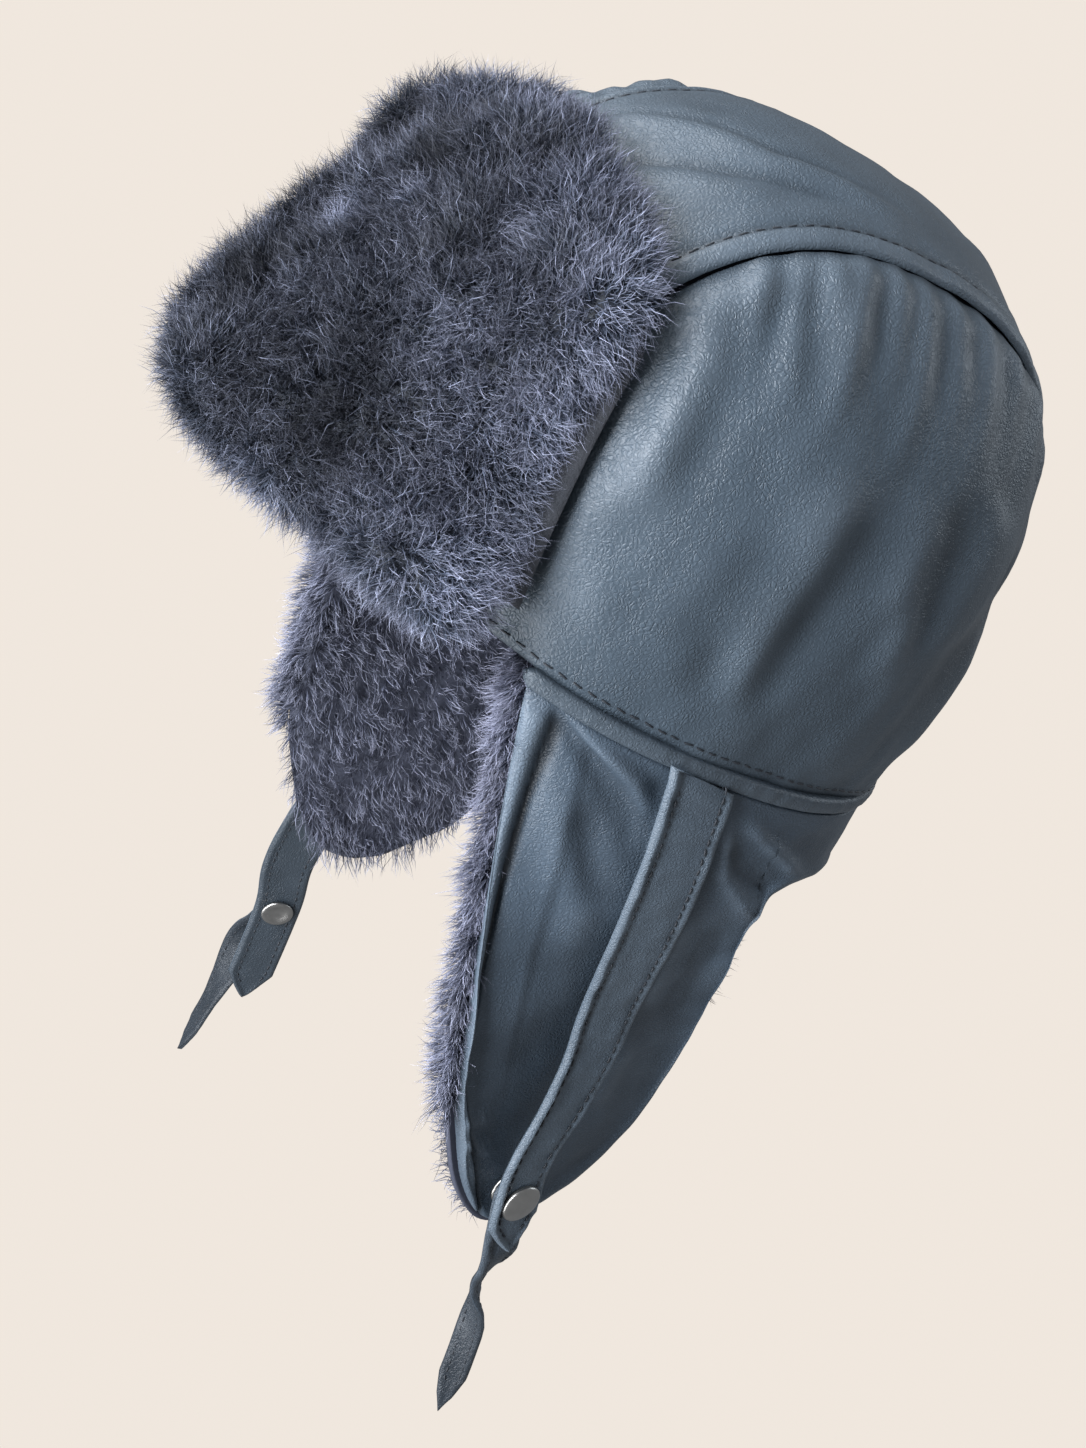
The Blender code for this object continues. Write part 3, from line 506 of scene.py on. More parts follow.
front, back = seam_limits(STRIP_HALF_WIDTH + GAP, TUCKED)
share = np.linspace(0.0, 1.0, 172)
share = share + 0.035 * np.sin(2.0 * np.pi * share)
upper = seam_direction(front + (back - front) * share, STRIP_HALF_WIDTH + GAP, 1)
first = math.atan2(upper[0, 0], -upper[0, 1])
last = math.atan2(upper[-1, 0], -upper[-1, 1])
theta = first + (last - first) * share
lower = direction(theta, rim_phi(theta, TUCKED))
lower[0], lower[-1] = upper[0], upper[-1]
climb = crowded(62, 0.80)
angle = np.maximum(np.arccos(np.clip((upper * lower).sum(-1), -1.0, 1.0)), 1e-6)
panel = (lower[:, None] * np.sin((1.0 - climb) * angle[:, None])[..., None]
         + upper[:, None] * np.sin(climb * angle[:, None])[..., None])
panel /= np.linalg.norm(panel, axis=-1, keepdims=True)
s, t = np.meshgrid(share, climb, indexing="ij")
plain = crown(panel)
from_rim, to_seam = lengths(plain, 1)
panel_sides = {}
for side, label in ((1, "left"), (-1, "right")):
    skew = 0.0 if side == 1 else FAR_SHIFT
    relief = np.zeros(s.shape)
    x, y = (s + skew * t) * PANEL_LONG, t * PANEL_HIGH
    for fold in PANEL_FOLDS:
        line = np.array(fold["path"]) * (PANEL_LONG, PANEL_HIGH)
        relief += fold["rise"] / 1000.0 * ridge(x, y, line, fold["width"] / 1000.0)
    for start, drift, end, width, rise in zip(*PANEL_GATHERS.values()):
        line = np.array(((start, 1.02), (start + drift * 0.4, (1.0 + end) / 2.0), (start + drift, end)))
        line = line * (PANEL_LONG, PANEL_HIGH)
        relief += GATHER_DEEPER * rise / 1000.0 * ridge(x, y, line, width / 1000.0, (0.0, 0.75))
    relief *= 0.35 + 0.65 * smooth(to_seam, 0.0, 0.007)
    relief += 0.00035 * waves(plain, 0.034, 11 + side) + 0.00016 * waves(plain, 0.013, 21 + side)
    relief += 0.0009 * bell(to_seam - 0.0085, 0.0052) * smooth(s, 0.05, 0.2) * smooth(1.0 - s, 0.05, 0.2)
    relief -= 0.0003 * bell(to_seam, 0.0026)
    relief -= 0.0006 * bell(from_rim, 0.0016)
    round_off = rounding(np.minimum(from_rim, to_seam), EDGE_ROUND)
    d = panel * (side, 1.0, 1.0)
    # Lighter on raised folds for wear and painted highlight.
    worn = np.clip(relief / 0.003, 0.0, 1.0) * 0.55
    panel_sides[side] = crown(d, relief - round_off), crown(d, relief - LEATHER + round_off)
    # Painted shade: darker along the seam, along the rim and in the hollows of the folds.
    dark = 0.45 * bell(to_seam, 0.0022) + 0.3 * bell(from_rim, 0.0014) + np.clip(-relief / 0.006, 0.0, 0.25)
    piece = skin("side_panel_" + label, *panel_sides[side], panel_mat, worn=worn, dark=dark)
    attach(piece, "root")
    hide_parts("crown_side_" + label)


# Centre strip: one length of leather from the forehead over the top to the nape.
# Each edge is turned under and topstitched, so a soft rolled bead stands over the side panel.
STRIP_RISE = 0.0006
BEAD_RISE = 0.0013
STITCH_AT = 0.862
STRIP_LONG = 0.375
STRIP_COLOUR = (0.070, 0.094, 0.118)
# Soft creases over the top: paths of share from front to back and share across, width and rise in mm.
STRIP_FOLDS = (
    {"path": ((0.300, -0.75), (0.325, -0.50), (0.369, -0.13), (0.394, 0.23), (0.440, 0.42), (0.500, 0.55)),
     "width": 2.6, "rise": -1.4},
    {"path": ((0.305, -0.60), (0.330, -0.34), (0.362, 0.03), (0.385, 0.36), (0.440, 0.56), (0.510, 0.68)),
     "width": 5.0, "rise": 2.2},
    {"path": ((0.290, -0.15), (0.312, 0.07), (0.356, 0.40), (0.406, 0.60), (0.460, 0.66)),
     "width": 2.4, "rise": -1.3},
    {"path": ((0.285, 0.05), (0.305, 0.24), (0.345, 0.55), (0.395, 0.74)), "width": 4.6, "rise": 1.4},
    {"path": ((0.560, -0.60), (0.590, 0.0), (0.575, 0.60)), "width": 8.0, "rise": 1.5},
    {"path": ((0.640, -0.50), (0.660, 0.1), (0.690, 0.60)), "width": 7.0, "rise": -1.3},
    {"path": ((0.780, -0.50), (0.760, 0.0), (0.790, 0.55)), "width": 7.0, "rise": 1.4},
)
strip_mat = leather("strip_leather", STRIP_COLOUR, PANEL_WEAR_AND_HIGHLIGHT, 800.0, 0.75, 0.39)

across = crowded(50, 0.62) * 2.0 - 1.0
share = crowded(200, 0.30)
columns_of_strip = []
for part in across:
    half = max(abs(part) * STRIP_HALF_WIDTH, 0.00001)
    low, high = seam_limits(half, TUCKED)
    columns_of_strip.append(seam_direction(low + (high - low) * share, half, 1 if part >= 0.0 else -1))
strip = np.stack(columns_of_strip, 1)
s, t = np.meshgrid(share, across, indexing="ij")
plain = crown(strip)
along, left_over = lengths(plain, 0)
from_edge = (1.0 - np.abs(t)) * STRIP_HALF_WIDTH
x, y = s * STRIP_LONG, t * STRIP_HALF_WIDTH
relief = np.full(s.shape, STRIP_RISE)
for fold in STRIP_FOLDS:
    line = np.array(fold["path"]) * (STRIP_LONG, STRIP_HALF_WIDTH)
    relief += fold["rise"] / 1000.0 * ridge(x, y, line, fold["width"] / 1000.0)
unevenness = 0.00030 * waves(plain, 0.040, 31) + 0.00014 * waves(plain, 0.015, 32)
relief += unevenness * smooth(from_edge, 0.004, 0.012)
seam_in = (1.0 - STITCH_AT) * STRIP_HALF_WIDTH
bead = np.sqrt(np.clip(1.0 - ((from_edge - seam_in * 0.47) / (seam_in * 0.53)) ** 2, 0.0, 1.0))
pucker = waves(np.stack([along, 0.0 * t, np.sign(t) * 0.3], -1), 0.0085, 33, 9)
relief += BEAD_RISE * bead * (1.0 + 0.16 * pucker)
relief += 0.0004 * bell(from_edge - seam_in - 0.0042, 0.0030) * (1.0 + 0.5 * pucker)
relief -= 0.0005 * bell(from_edge - seam_in, 0.0008)
round_off = rounding(np.minimum(from_edge, np.minimum(along, left_over)), EDGE_ROUND)
strip_sides = crown(strip, relief - round_off), crown(strip, np.minimum(relief, 0.0016) - LEATHER + round_off)
# Lighter on the beads and raised creases for wear and painted highlight.
worn = np.clip(bead, 0.0, 1.0) * 0.4 + np.clip(relief / 0.004, 0.0, 0.3)
# Painted shade: darker in the stitch grooves and in the hollows of the creases.
dark = 0.5 * bell(from_edge - seam_in, 0.0009) + np.clip((STRIP_RISE - relief) / 0.004, 0.0, 0.25)
piece = skin("centre_strip", *strip_sides, strip_mat, worn=worn, dark=dark)
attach(piece, "root")
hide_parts("crown_top_strip")


# Topstitching of the crown: dark waxed thread, a row along each side of the strip and one along the rim.
# Each stitch is a short bent capsule that sinks into the leather at both ends.
STITCH_PITCH = 0.0044
STITCH_LENGTH = 0.0034
STITCH_SUNK = 0.04
RIM_STITCH_IN = 0.0036
THREAD = 0.00060
THREAD_COLOUR = (0.012, 0.014, 0.018)
thread_mat = bpy.data.materials.new("waxed_thread")
thread_mat.use_nodes = True
tree = thread_mat.node_tree
spot = put(tree, "ShaderNodeTexCoord").outputs["Object"]
fibre = put(tree, "ShaderNodeTexNoise", Vector=spot, Scale=2600.0, Detail=2.0)
ramp = put(tree, "ShaderNodeMix", {"data_type": "RGBA"}, i0=fibre.outputs["Fac"], i6=(*THREAD_COLOUR, 1.0),
           i7=(0.035, 0.040, 0.048, 1.0))
raised = put(tree, "ShaderNodeBump", Height=fibre.outputs["Fac"], Distance=0.0001)
tree.links.new(ramp.outputs[2], tree.nodes["Principled BSDF"].inputs["Base Color"])
tree.links.new(raised.outputs["Normal"], tree.nodes["Principled BSDF"].inputs["Normal"])
tree.nodes["Principled BSDF"].inputs["Roughness"].default_value = 0.55


def stitches(path, normal, pitch, length, thick, seed):
    """Capsules along a path: four rings of five points each, arched outwards; returns points and faces."""
    run = np.concatenate([[0.0], np.cumsum(np.linalg.norm(np.diff(path, axis=0), axis=1))])
    count = int((run[-1] - length) // pitch)
    rng = np.random.RandomState(seed)
    start = (np.arange(count) + 0.5) * pitch + rng.uniform(-0.06, 0.06, count) * pitch
    size = length * rng.uniform(0.92, 1.06, count)
    share = np.array([0.0, 0.20, 0.80, 1.0])
    at = start[:, None] + size[:, None] * share
    middle = np.stack([np.interp(at, run, path[:, k]) for k in range(3)], -1)
    up = np.stack([np.interp(at, run, normal[:, k]) for k in range(3)], -1)
    up /= np.linalg.norm(up, axis=-1, keepdims=True)
    ahead_of = middle[:, -1:] - middle[:, :1]
    ahead_of = ahead_of / np.linalg.norm(ahead_of, axis=-1, keepdims=True)
    beside = np.cross(up, ahead_of)
    beside /= np.linalg.norm(beside, axis=-1, keepdims=True)
    turned = rng.uniform(-0.07, 0.07, count)[:, None, None]
    slant = turned * (share - 0.5)[None, :, None] * size[:, None, None] * 2.0
    middle = middle + up * (thick * np.array([-0.45, 0.18, 0.18, -0.45]))[None, :, None] + beside * slant
    fat = thick / 2.0 * np.array([0.35, 1.0, 1.0, 0.35])
    turn = np.arange(5) * np.pi / 2.5
    ring = (beside[:, :, None] * np.cos(turn)[None, None, :, None]
            + up[:, :, None] * np.sin(turn)[None, None, :, None])
    points = middle[:, :, None] + ring * fat[None, :, None, None]
    sides = grid_faces(4, 5, True)
    caps = np.array([[4, 3, 2, 1, 0], [15, 16, 17, 18, 19]])
    base = (np.arange(count) * 20)[:, None, None]
    return points.reshape(-1, 3), [(sides[None] + base).reshape(-1, 4), (caps[None] + base).reshape(-1, 5)]


def sew(name, rows):
    """One object from several rows of stitches; each row is a path, its normals, pitch, length and seed."""
    points, quads, caps, count = [], [], [], 0
    for path, normal, pitch, length, seed in rows:
        p, (q, c) = stitches(path, normal, pitch, length, THREAD, seed)
        points.append(p)
        quads.append(q + count)
        caps.append(c + count)
        count += len(p)
    made = make_mesh(name, np.concatenate(points), [np.concatenate(quads), np.concatenate(caps)], thread_mat)
    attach(made, "root")


def follow(sides, distance, wanted):
    """Line on a skin's outer face at a wanted distance, with its outward direction, for each grid row."""
    line, under = [np.array([[np.interp(wanted, distance[i], face[i, :, k]) for k in range(3)]
                             for i in range(len(face))]) for face in sides]
    return line, line - under


rows = []
for side in (1, -1):
    line, outward = follow(strip_sides, t, side * STITCH_AT)
    rows.append((line - outward * STITCH_SUNK, outward, STITCH_PITCH, STITCH_LENGTH, 41 + side))
    line, outward = follow(panel_sides[side], from_rim, RIM_STITCH_IN)
    rows.append((line[1:-1], outward[1:-1], STITCH_PITCH, STITCH_LENGTH, 51 + side))
sew("crown_stitching", rows)


# Rim welt: a strip of the same leather folded over a core and sewn between the crown and the flaps.
# Its section is a rounded oblong carried round the rim, with the fine cross wrinkles of a turned strip.
TEMPLE = 51.0
WELT_HEIGHT = 0.0052
WELT_DEPTH = 0.0044
WELT_SQUARENESS = 0.62
TRIM_COLOUR = (0.054, 0.072, 0.092)
trim_mat = leather("trim_leather", TRIM_COLOUR, (0.100, 0.126, 0.150), 860.0, 0.7, 0.40)


def closed_band(name, rings, surface, **values):
    """Tube from rings of points, closed at both ends by fans of small faces."""
    count, around = rings.shape[:2]
    ends = np.stack([rings[0].mean(0), rings[-1].mean(0)])
    points = np.concatenate([rings.reshape(-1, 3), ends])
    j = np.arange(around)
    k = (j + 1) % around
    top = np.stack([k, j, np.full(around, count * around)], -1)
    last_ring = (count - 1) * around
    bottom = np.stack([last_ring + j, last_ring + k, np.full(around, count * around + 1)], -1)
    walls = grid_faces(count, around, True)
    made = make_mesh(name, points, [walls, np.concatenate([top, bottom])], surface)
    for key, grid in values.items():
        add_values(made, key, np.concatenate([grid.ravel(), [0.0, 0.0]]))
    finish(made)
    return made


theta = np.radians(np.linspace(TEMPLE, 360.0 - TEMPLE, 430))
rim_line = crown(direction(theta, rim_phi(theta)))
plane_normal = np.array([0.0, math.sin(math.radians(RIM_TILT)), math.cos(math.radians(RIM_TILT))])
ahead_of = np.gradient(rim_line, axis=0)
outward = np.cross(ahead_of, plane_normal)
outward /= np.linalg.norm(outward, axis=-1, keepdims=True)
outward *= np.sign((outward * rim_line).sum(-1))[:, None]
turn = np.linspace(0.0, 2.0 * np.pi, 19)[:-1]
run = np.concatenate([[0.0], np.cumsum(np.linalg.norm(np.diff(rim_line, axis=0), axis=1))])
middle = rim_line - plane_normal * (WELT_HEIGHT / 2.0 + GAP) - outward * GAP
cosine, sine = np.cos(turn), np.sin(turn)
wide = WELT_DEPTH / 2.0 * np.sign(cosine) * np.abs(cosine) ** WELT_SQUARENESS
tall = WELT_HEIGHT / 2.0 * np.sign(sine) * np.abs(sine) ** WELT_SQUARENESS
wrinkle = waves(np.stack([run[:, None] + 0.0 * turn, 0.0008 * sine + 0.0 * run[:, None],
                          0.0 * run[:, None] + 0.0 * turn], -1), 0.0042, 61, 12)
swell = 1.0 + 0.045 * wrinkle
taper = np.sqrt(np.clip(np.minimum(run, run[-1] - run) / 0.003, 0.02, 1.0))[:, None]
rings = (middle[:, None] + outward[:, None] * (wide * swell * taper)[..., None]
         + plane_normal * (tall * taper * np.ones(swell.shape))[..., None])
# Lighter on the outward half of the round for wear and painted highlight.
worn = np.clip(cosine, 0.0, 1.0)[None] * 0.5 * np.ones(swell.shape)
piece = closed_band("rim_piping", rings, trim_mat, worn=worn)
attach(piece, "root")
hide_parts("rim_welt")


# Ear flaps: one layer of leather a side, hanging from the rim and running on round the nape as a short guard.
# The front edge is turned back into a soft rolled band, and folds fall from where the strap is sewn in.
FLAP_TOP = 0.0068
FLAP_FLAT_X = 0.084
FLAP_LENGTH = 0.2080
FLAP_FORWARD = 0.0050
FLAP_TOE_OUT = 0.20
FLAP_FLARE = 0.06
GUARD_LEAN = 0.45
FLAP_COLOUR = (0.066, 0.092, 0.122)
FLAP_MEETING = 179.93
ROLL_WIDTH = 0.0095
ROLL_WIDER_BELOW = 0.0065
ROLL_RISE = 0.0034
DEGREE = 0.00155
# Outline of a flap from its front corner to the nape: azimuth in degrees, drop as a share of its length.
FLAP_OUTLINE = {
    "azimuth": (51.0, 51.6, 53.0, 56.0, 60.5, 65.0, 70.0, 77.0, 84.0, 90.0, 96.0, 101.0, 104.5, 106.0,
                106.6, 106.8, 109.0, 114.0, 122.0, 136.0, 151.0, 166.0, 180.0),
    "drop": (0.664, 0.720, 0.775, 0.860, 0.925, 0.950, 0.945, 0.913, 0.873, 0.827, 0.765, 0.692, 0.600, 0.510,
             0.400, 0.279, 0.202, 0.165, 0.150, 0.148, 0.147, 0.146, 0.145),
}
# Folds of a flap: paths of azimuth in degrees and drop in mm, width and rise in mm.
FLAP_FOLDS = (
    {"path": ((56.0, 2.0), (61.0, 7.0), (66.0, 11.0), (73.0, 17.0), (79.0, 30.0)), "width": 4.0, "rise": 2.7},
    {"path": ((55.0, 6.0), (60.5, 13.0), (66.0, 19.0), (71.0, 26.0), (76.0, 42.0)),
     "width": 3.0, "rise": -2.4},
    {"path": ((59.0, 22.0), (62.0, 46.0), (68.5, 70.0), (69.0, 96.0)), "width": 7.0, "rise": 1.6},
    {"path": ((64.0, 30.0), (68.0, 50.0), (74.0, 66.0)), "width": 5.0, "rise": -1.4},
    {"path": ((52.0, 150.0), (56.0, 154.0), (62.0, 151.0)), "width": 2.8, "rise": 1.6},
    {"path": ((52.5, 160.0), (57.0, 163.0), (64.0, 168.0)), "width": 2.6, "rise": 1.4},
    {"path": ((92.0, 14.0), (94.0, 22.0), (96.0, 36.0), (103.0, 44.0), (112.0, 48.0)),
     "width": 3.2, "rise": 2.2},
    {"path": ((95.0, 24.0), (101.0, 33.0), (112.0, 38.0)), "width": 3.0, "rise": -1.8},
    {"path": ((96.0, 14.0), (104.0, 20.0), (113.0, 26.0), (121.0, 29.0)), "width": 3.2, "rise": 2.2},
    {"path": ((92.0, 50.0), (90.0, 70.0), (88.0, 110.0)), "width": 6.0, "rise": 1.8},
    {"path": ((101.0, 52.0), (100.0, 70.0), (97.0, 110.0)), "width": 5.0, "rise": -1.6},
    {"path": ((84.0, 150.0), (88.0, 130.0), (90.0, 112.0)), "width": 4.6, "rise": 1.6},
)
flap_mat = leather("flap_leather", FLAP_COLOUR, (0.150, 0.190, 0.235), 820.0, 0.8, 0.38)


def between(a, b, c, d, t):
    """Cubic from b to c at a share t, with half the step from a to c as its slope at b, and so on at c."""
    bend, twist = 2 * a - 5 * b + 4 * c - d, 3 * b - a - 3 * c + d
    return 0.5 * (2 * b + (c - a) * t + bend * t * t + twist * t ** 3)


def through(values, share):
    """Smooth curve through evenly spaced values, read at shares of its length."""
    values = np.asarray(values, float)
    final = len(values) - 1
    at = np.clip(np.asarray(share, float), 0.0, 1.0) * final
    i = np.minimum(at.astype(int), final - 1)
    t = at - i
    t = t.reshape(t.shape + (1,) * (values.ndim - 1))
    before, after = values[np.maximum(i - 1, 0)], values[np.minimum(i + 2, final)]
    return between(before, values[i], values[i + 1], after, t)


def flap(theta_degrees, drop, offset=0.0, side=1):
    """Point below the rim: the rim point at an azimuth, let down by the drop, pushed out by the offset."""
    def place(degrees, down):
        """Rim point plus the drop along its fall, eased in front to one flat side that leans forward."""
        a = np.radians(degrees)
        top = crown(direction(a, rim_phi(a)))
        bend = smooth(degrees, 100.0, 165.0)
        fall = np.stack([0.0 * bend, -GUARD_LEAN * bend, -1.0 + 0.0 * bend], -1)
        fall /= np.linalg.norm(fall, axis=-1, keepdims=True)
        point = top + fall * down[..., None]
        hang = smooth(down, 0.03, 0.150) * (1.0 - smooth(degrees, 100.0, 125.0))
        point[..., 1] -= FLAP_FORWARD * hang * (1.0 - smooth(degrees, 52.0, 85.0))
        flat = FLAP_FLAT_X - FLAP_TOE_OUT * (point[..., 1] + 0.038) + FLAP_FLARE * (down - 0.150)
        point[..., 0] += (flat - point[..., 0]) * hang
        return point
    degrees, down = np.broadcast_arrays(np.asarray(theta_degrees, float), np.asarray(drop, float))
    base = place(degrees, down)
    step_a = place(degrees + 0.5, down) - place(degrees - 0.5, down)
    step_d = place(degrees, down + 0.001) - place(degrees, down - 0.001)
    n = np.cross(step_d, step_a)
    n /= np.linalg.norm(n, axis=-1, keepdims=True)
    n *= np.sign((n * base)[..., :2].sum(-1))[..., None]
    base = base + n * np.asarray(offset, float)[..., None]
    base[..., 0] *= side
    return base


edge_share = np.linspace(0.0, 1.0, 168)
degrees = through(FLAP_OUTLINE["azimuth"], edge_share)
degrees[-1] = FLAP_MEETING
ends = through(FLAP_OUTLINE["drop"], edge_share) * FLAP_LENGTH
level = crowded(64, 0.72)
down = FLAP_TOP + (ends[:, None] - FLAP_TOP) * level[None]
a = degrees[:, None] * np.ones(level.shape)[None]
plain = flap(a, down)
from_top, to_end = lengths(plain, 1)
from_front, _ = lengths(plain, 0)
for side, label in ((1, "left"), (-1, "right")):
    x, y = a * DEGREE, down
    relief = np.zeros(a.shape)
    for fold in FLAP_FOLDS:
        line = np.array(fold["path"]) * (DEGREE, 0.001)
        relief += fold["rise"] / 1000.0 * ridge(x, y, line, fold["width"] / 1000.0, (0.25, 0.35))
    band_width = ROLL_WIDTH + ROLL_WIDER_BELOW * smooth(down, 0.02, 0.15)
    from_fold = np.minimum(from_front, to_end + 0.030 * smooth(a, 57.0, 66.0))
    roll = np.sqrt(np.clip(1.0 - ((from_fold - band_width * 0.5) / (band_width * 0.5)) ** 2, 0.0, 1.0))
    roll = roll * smooth(down, 0.002, 0.018) * (1.0 - 0.75 * smooth(down, 0.150, 0.190))
    relief += ROLL_RISE * roll * (1.0 + 0.12 * waves(plain, 0.030, 71 + side))
    relief -= 0.0016 * bell(from_fold - band_width - 0.0012, 0.0024)
    turned = np.minimum(to_end, np.where(a < 51.4, from_front, 1.0))
    relief += 0.0007 * bell(turned - 0.0030, 0.0022)
    unevenness = 0.00040 * waves(plain, 0.036, 73 + side) + 0.00016 * waves(plain, 0.012, 75 + side)
    relief += unevenness * smooth(from_top, 0.0, 0.01)
    relief = np.maximum(relief, -0.0011)
    relief *= smooth(from_top, 0.0, 0.006) * 0.8 + 0.2
    under_strap = smooth(np.abs(a - 71.0), 9.5, 6.5)
    relief -= 0.0010 * under_strap * smooth(down, 0.006, 0.02) * (1.0 - smooth(down, 0.10, 0.17))
    round_off = rounding(np.minimum(np.minimum(from_top, to_end), from_front), EDGE_ROUND)
    outside = flap(a, down, relief - round_off, side)
    inside = flap(a, down, relief * 0.4 - LEATHER + round_off, side)
    # Lighter on the rolled band and the raised folds for wear and painted highlight.
    worn = np.clip(roll * 0.60 + relief / 0.005, 0.0, 0.8)
    # Painted shade: darker in the groove behind the rolled band and in the hollows, fading out at the top.
    hollow_shade = 0.50 * bell(from_fold - band_width - 0.0014, 0.0026) + np.clip(-relief / 0.004, 0.0, 0.25)
    dark = hollow_shade * smooth(down, 0.004, 0.015)
    piece = skin("flap_" + label, outside, inside, flap_mat, worn=worn, dark=dark)
    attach(piece, "root")
    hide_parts("ear_flap_" + label)


# Straps: folded leather bands sewn in at the rim, lying on the flaps and ending in a point below them.
# Both edges are turned and topstitched, and the front edge stands up as a rolled bead.
STRAP_WIDTH = 0.0205
STRAP_END_WIDTH = 0.0175
STRAP_THICK = 0.0022
STRAP_POINT = 0.0125
STRAP_LIE = 0.0025
STRAP_FREE = 0.0080
STRAP_TUCK = 0.0036
STRAP_STITCH_IN = 0.0034
TIE_STITCH_IN = 0.0024
BAND_STITCH_PITCH = 0.0036
BAND_STITCH_LENGTH = 0.0027
BAND_STITCH_SUNK = 0.00005
BAND_FACE = 0.40
LAP_SHARE = 1.24
TIE_WIDTH = 0.0135
TIE_THICK = 0.0022
TIE_POINT = 0.0070
TIE_INWARD = 0.0085
# Middle line of each strap: shares of the flap's length towards the back and up, from the rim down.
STRAPS = {
    "left": {"forward": (-0.071, -0.081, -0.091, -0.110, -0.150, -0.188, -0.203, -0.207),
             "height": (-0.006, -0.150, -0.330, -0.500, -0.600, -0.680, -0.755, -0.860)},
    "right": {"forward": (-0.074, -0.080, -0.110, -0.160, -0.218, -0.268, -0.279, -0.323),
              "height": (-0.006, -0.145, -0.317, -0.543, -0.760, -0.946, -1.072, -1.308)},
}
# Middle lines of the ties, in the same shares, and their twist in degrees.
# The near tie is snapped on behind its strap and the far one in front of it.
TIES = {
    "left": {"forward": (-0.200, -0.203, -0.206, -0.204, -0.200, -0.216, -0.240),
             "height": (-0.712, -0.755, -0.860, -0.975, -1.065, -1.175, -1.280),
             "twist": (0.0, 0.0, 4.0, 40.0, 100.0, 130.0, 140.0), "bend_from": 3.0, "face": -1.0},
    "right": {"forward": (-0.272, -0.279, -0.302, -0.330, -0.363, -0.396, -0.430),
              "height": (-1.030, -1.072, -1.145, -1.225, -1.321, -1.416, -1.510),
              "twist": (0.0, 0.0, 10.0, 45.0, 70.0, 80.0, 85.0), "bend_from": 0.35, "face": 1.0},
}


def centre_line(table, lie_off, free_off, leave, side, steps):
    """Smooth line through a table's places, laid on the flap's surface and then hanging free of it."""
    points = np.stack([table["forward"], table["height"]], -1) * FLAP_LENGTH
    knots = np.concatenate([[0.0], np.cumsum(np.linalg.norm(np.diff(points, axis=0), axis=1))])
    at = np.linspace(0.0, knots[-1], steps)
    i = np.clip(np.searchsorted(knots, at) - 1, 0, len(points) - 2)
    t = ((at - knots[i]) / (knots[i + 1] - knots[i]))[:, None]
    before, after = points[np.maximum(i - 1, 0)], points[np.minimum(i + 2, len(points) - 1)]
    line = between(before, points[i], points[i + 1], after, t)
    drop_guess = np.maximum(-line[:, 1] + 0.006, 0.004)
    low = np.full(len(line), 52.0)
    high = np.full(len(line), 96.0)
    for _ in range(30):
        middle = (low + high) / 2.0
        for _ in range(3):
            here = flap(middle, drop_guess)
            drop_guess = drop_guess + (here[:, 2] - line[:, 1])
        forward = here[:, 1] < line[:, 0]
        low = np.where(forward, middle, low)
        high = np.where(forward, high, middle)
    surface = flap(middle, drop_guess)
    n = (flap(middle, drop_guess, np.full(len(line), 0.001)) - surface) / 0.001
    share = at / knots[-1]
    off = lie_off + (free_off - lie_off) * smooth(share, leave, leave + 0.27)
    path = np.stack([surface[:, 0] + n[:, 0] * off, line[:, 0], line[:, 1]], -1)
    path[:, 0] *= side
    n[:, 0] *= side
    return path, n, share


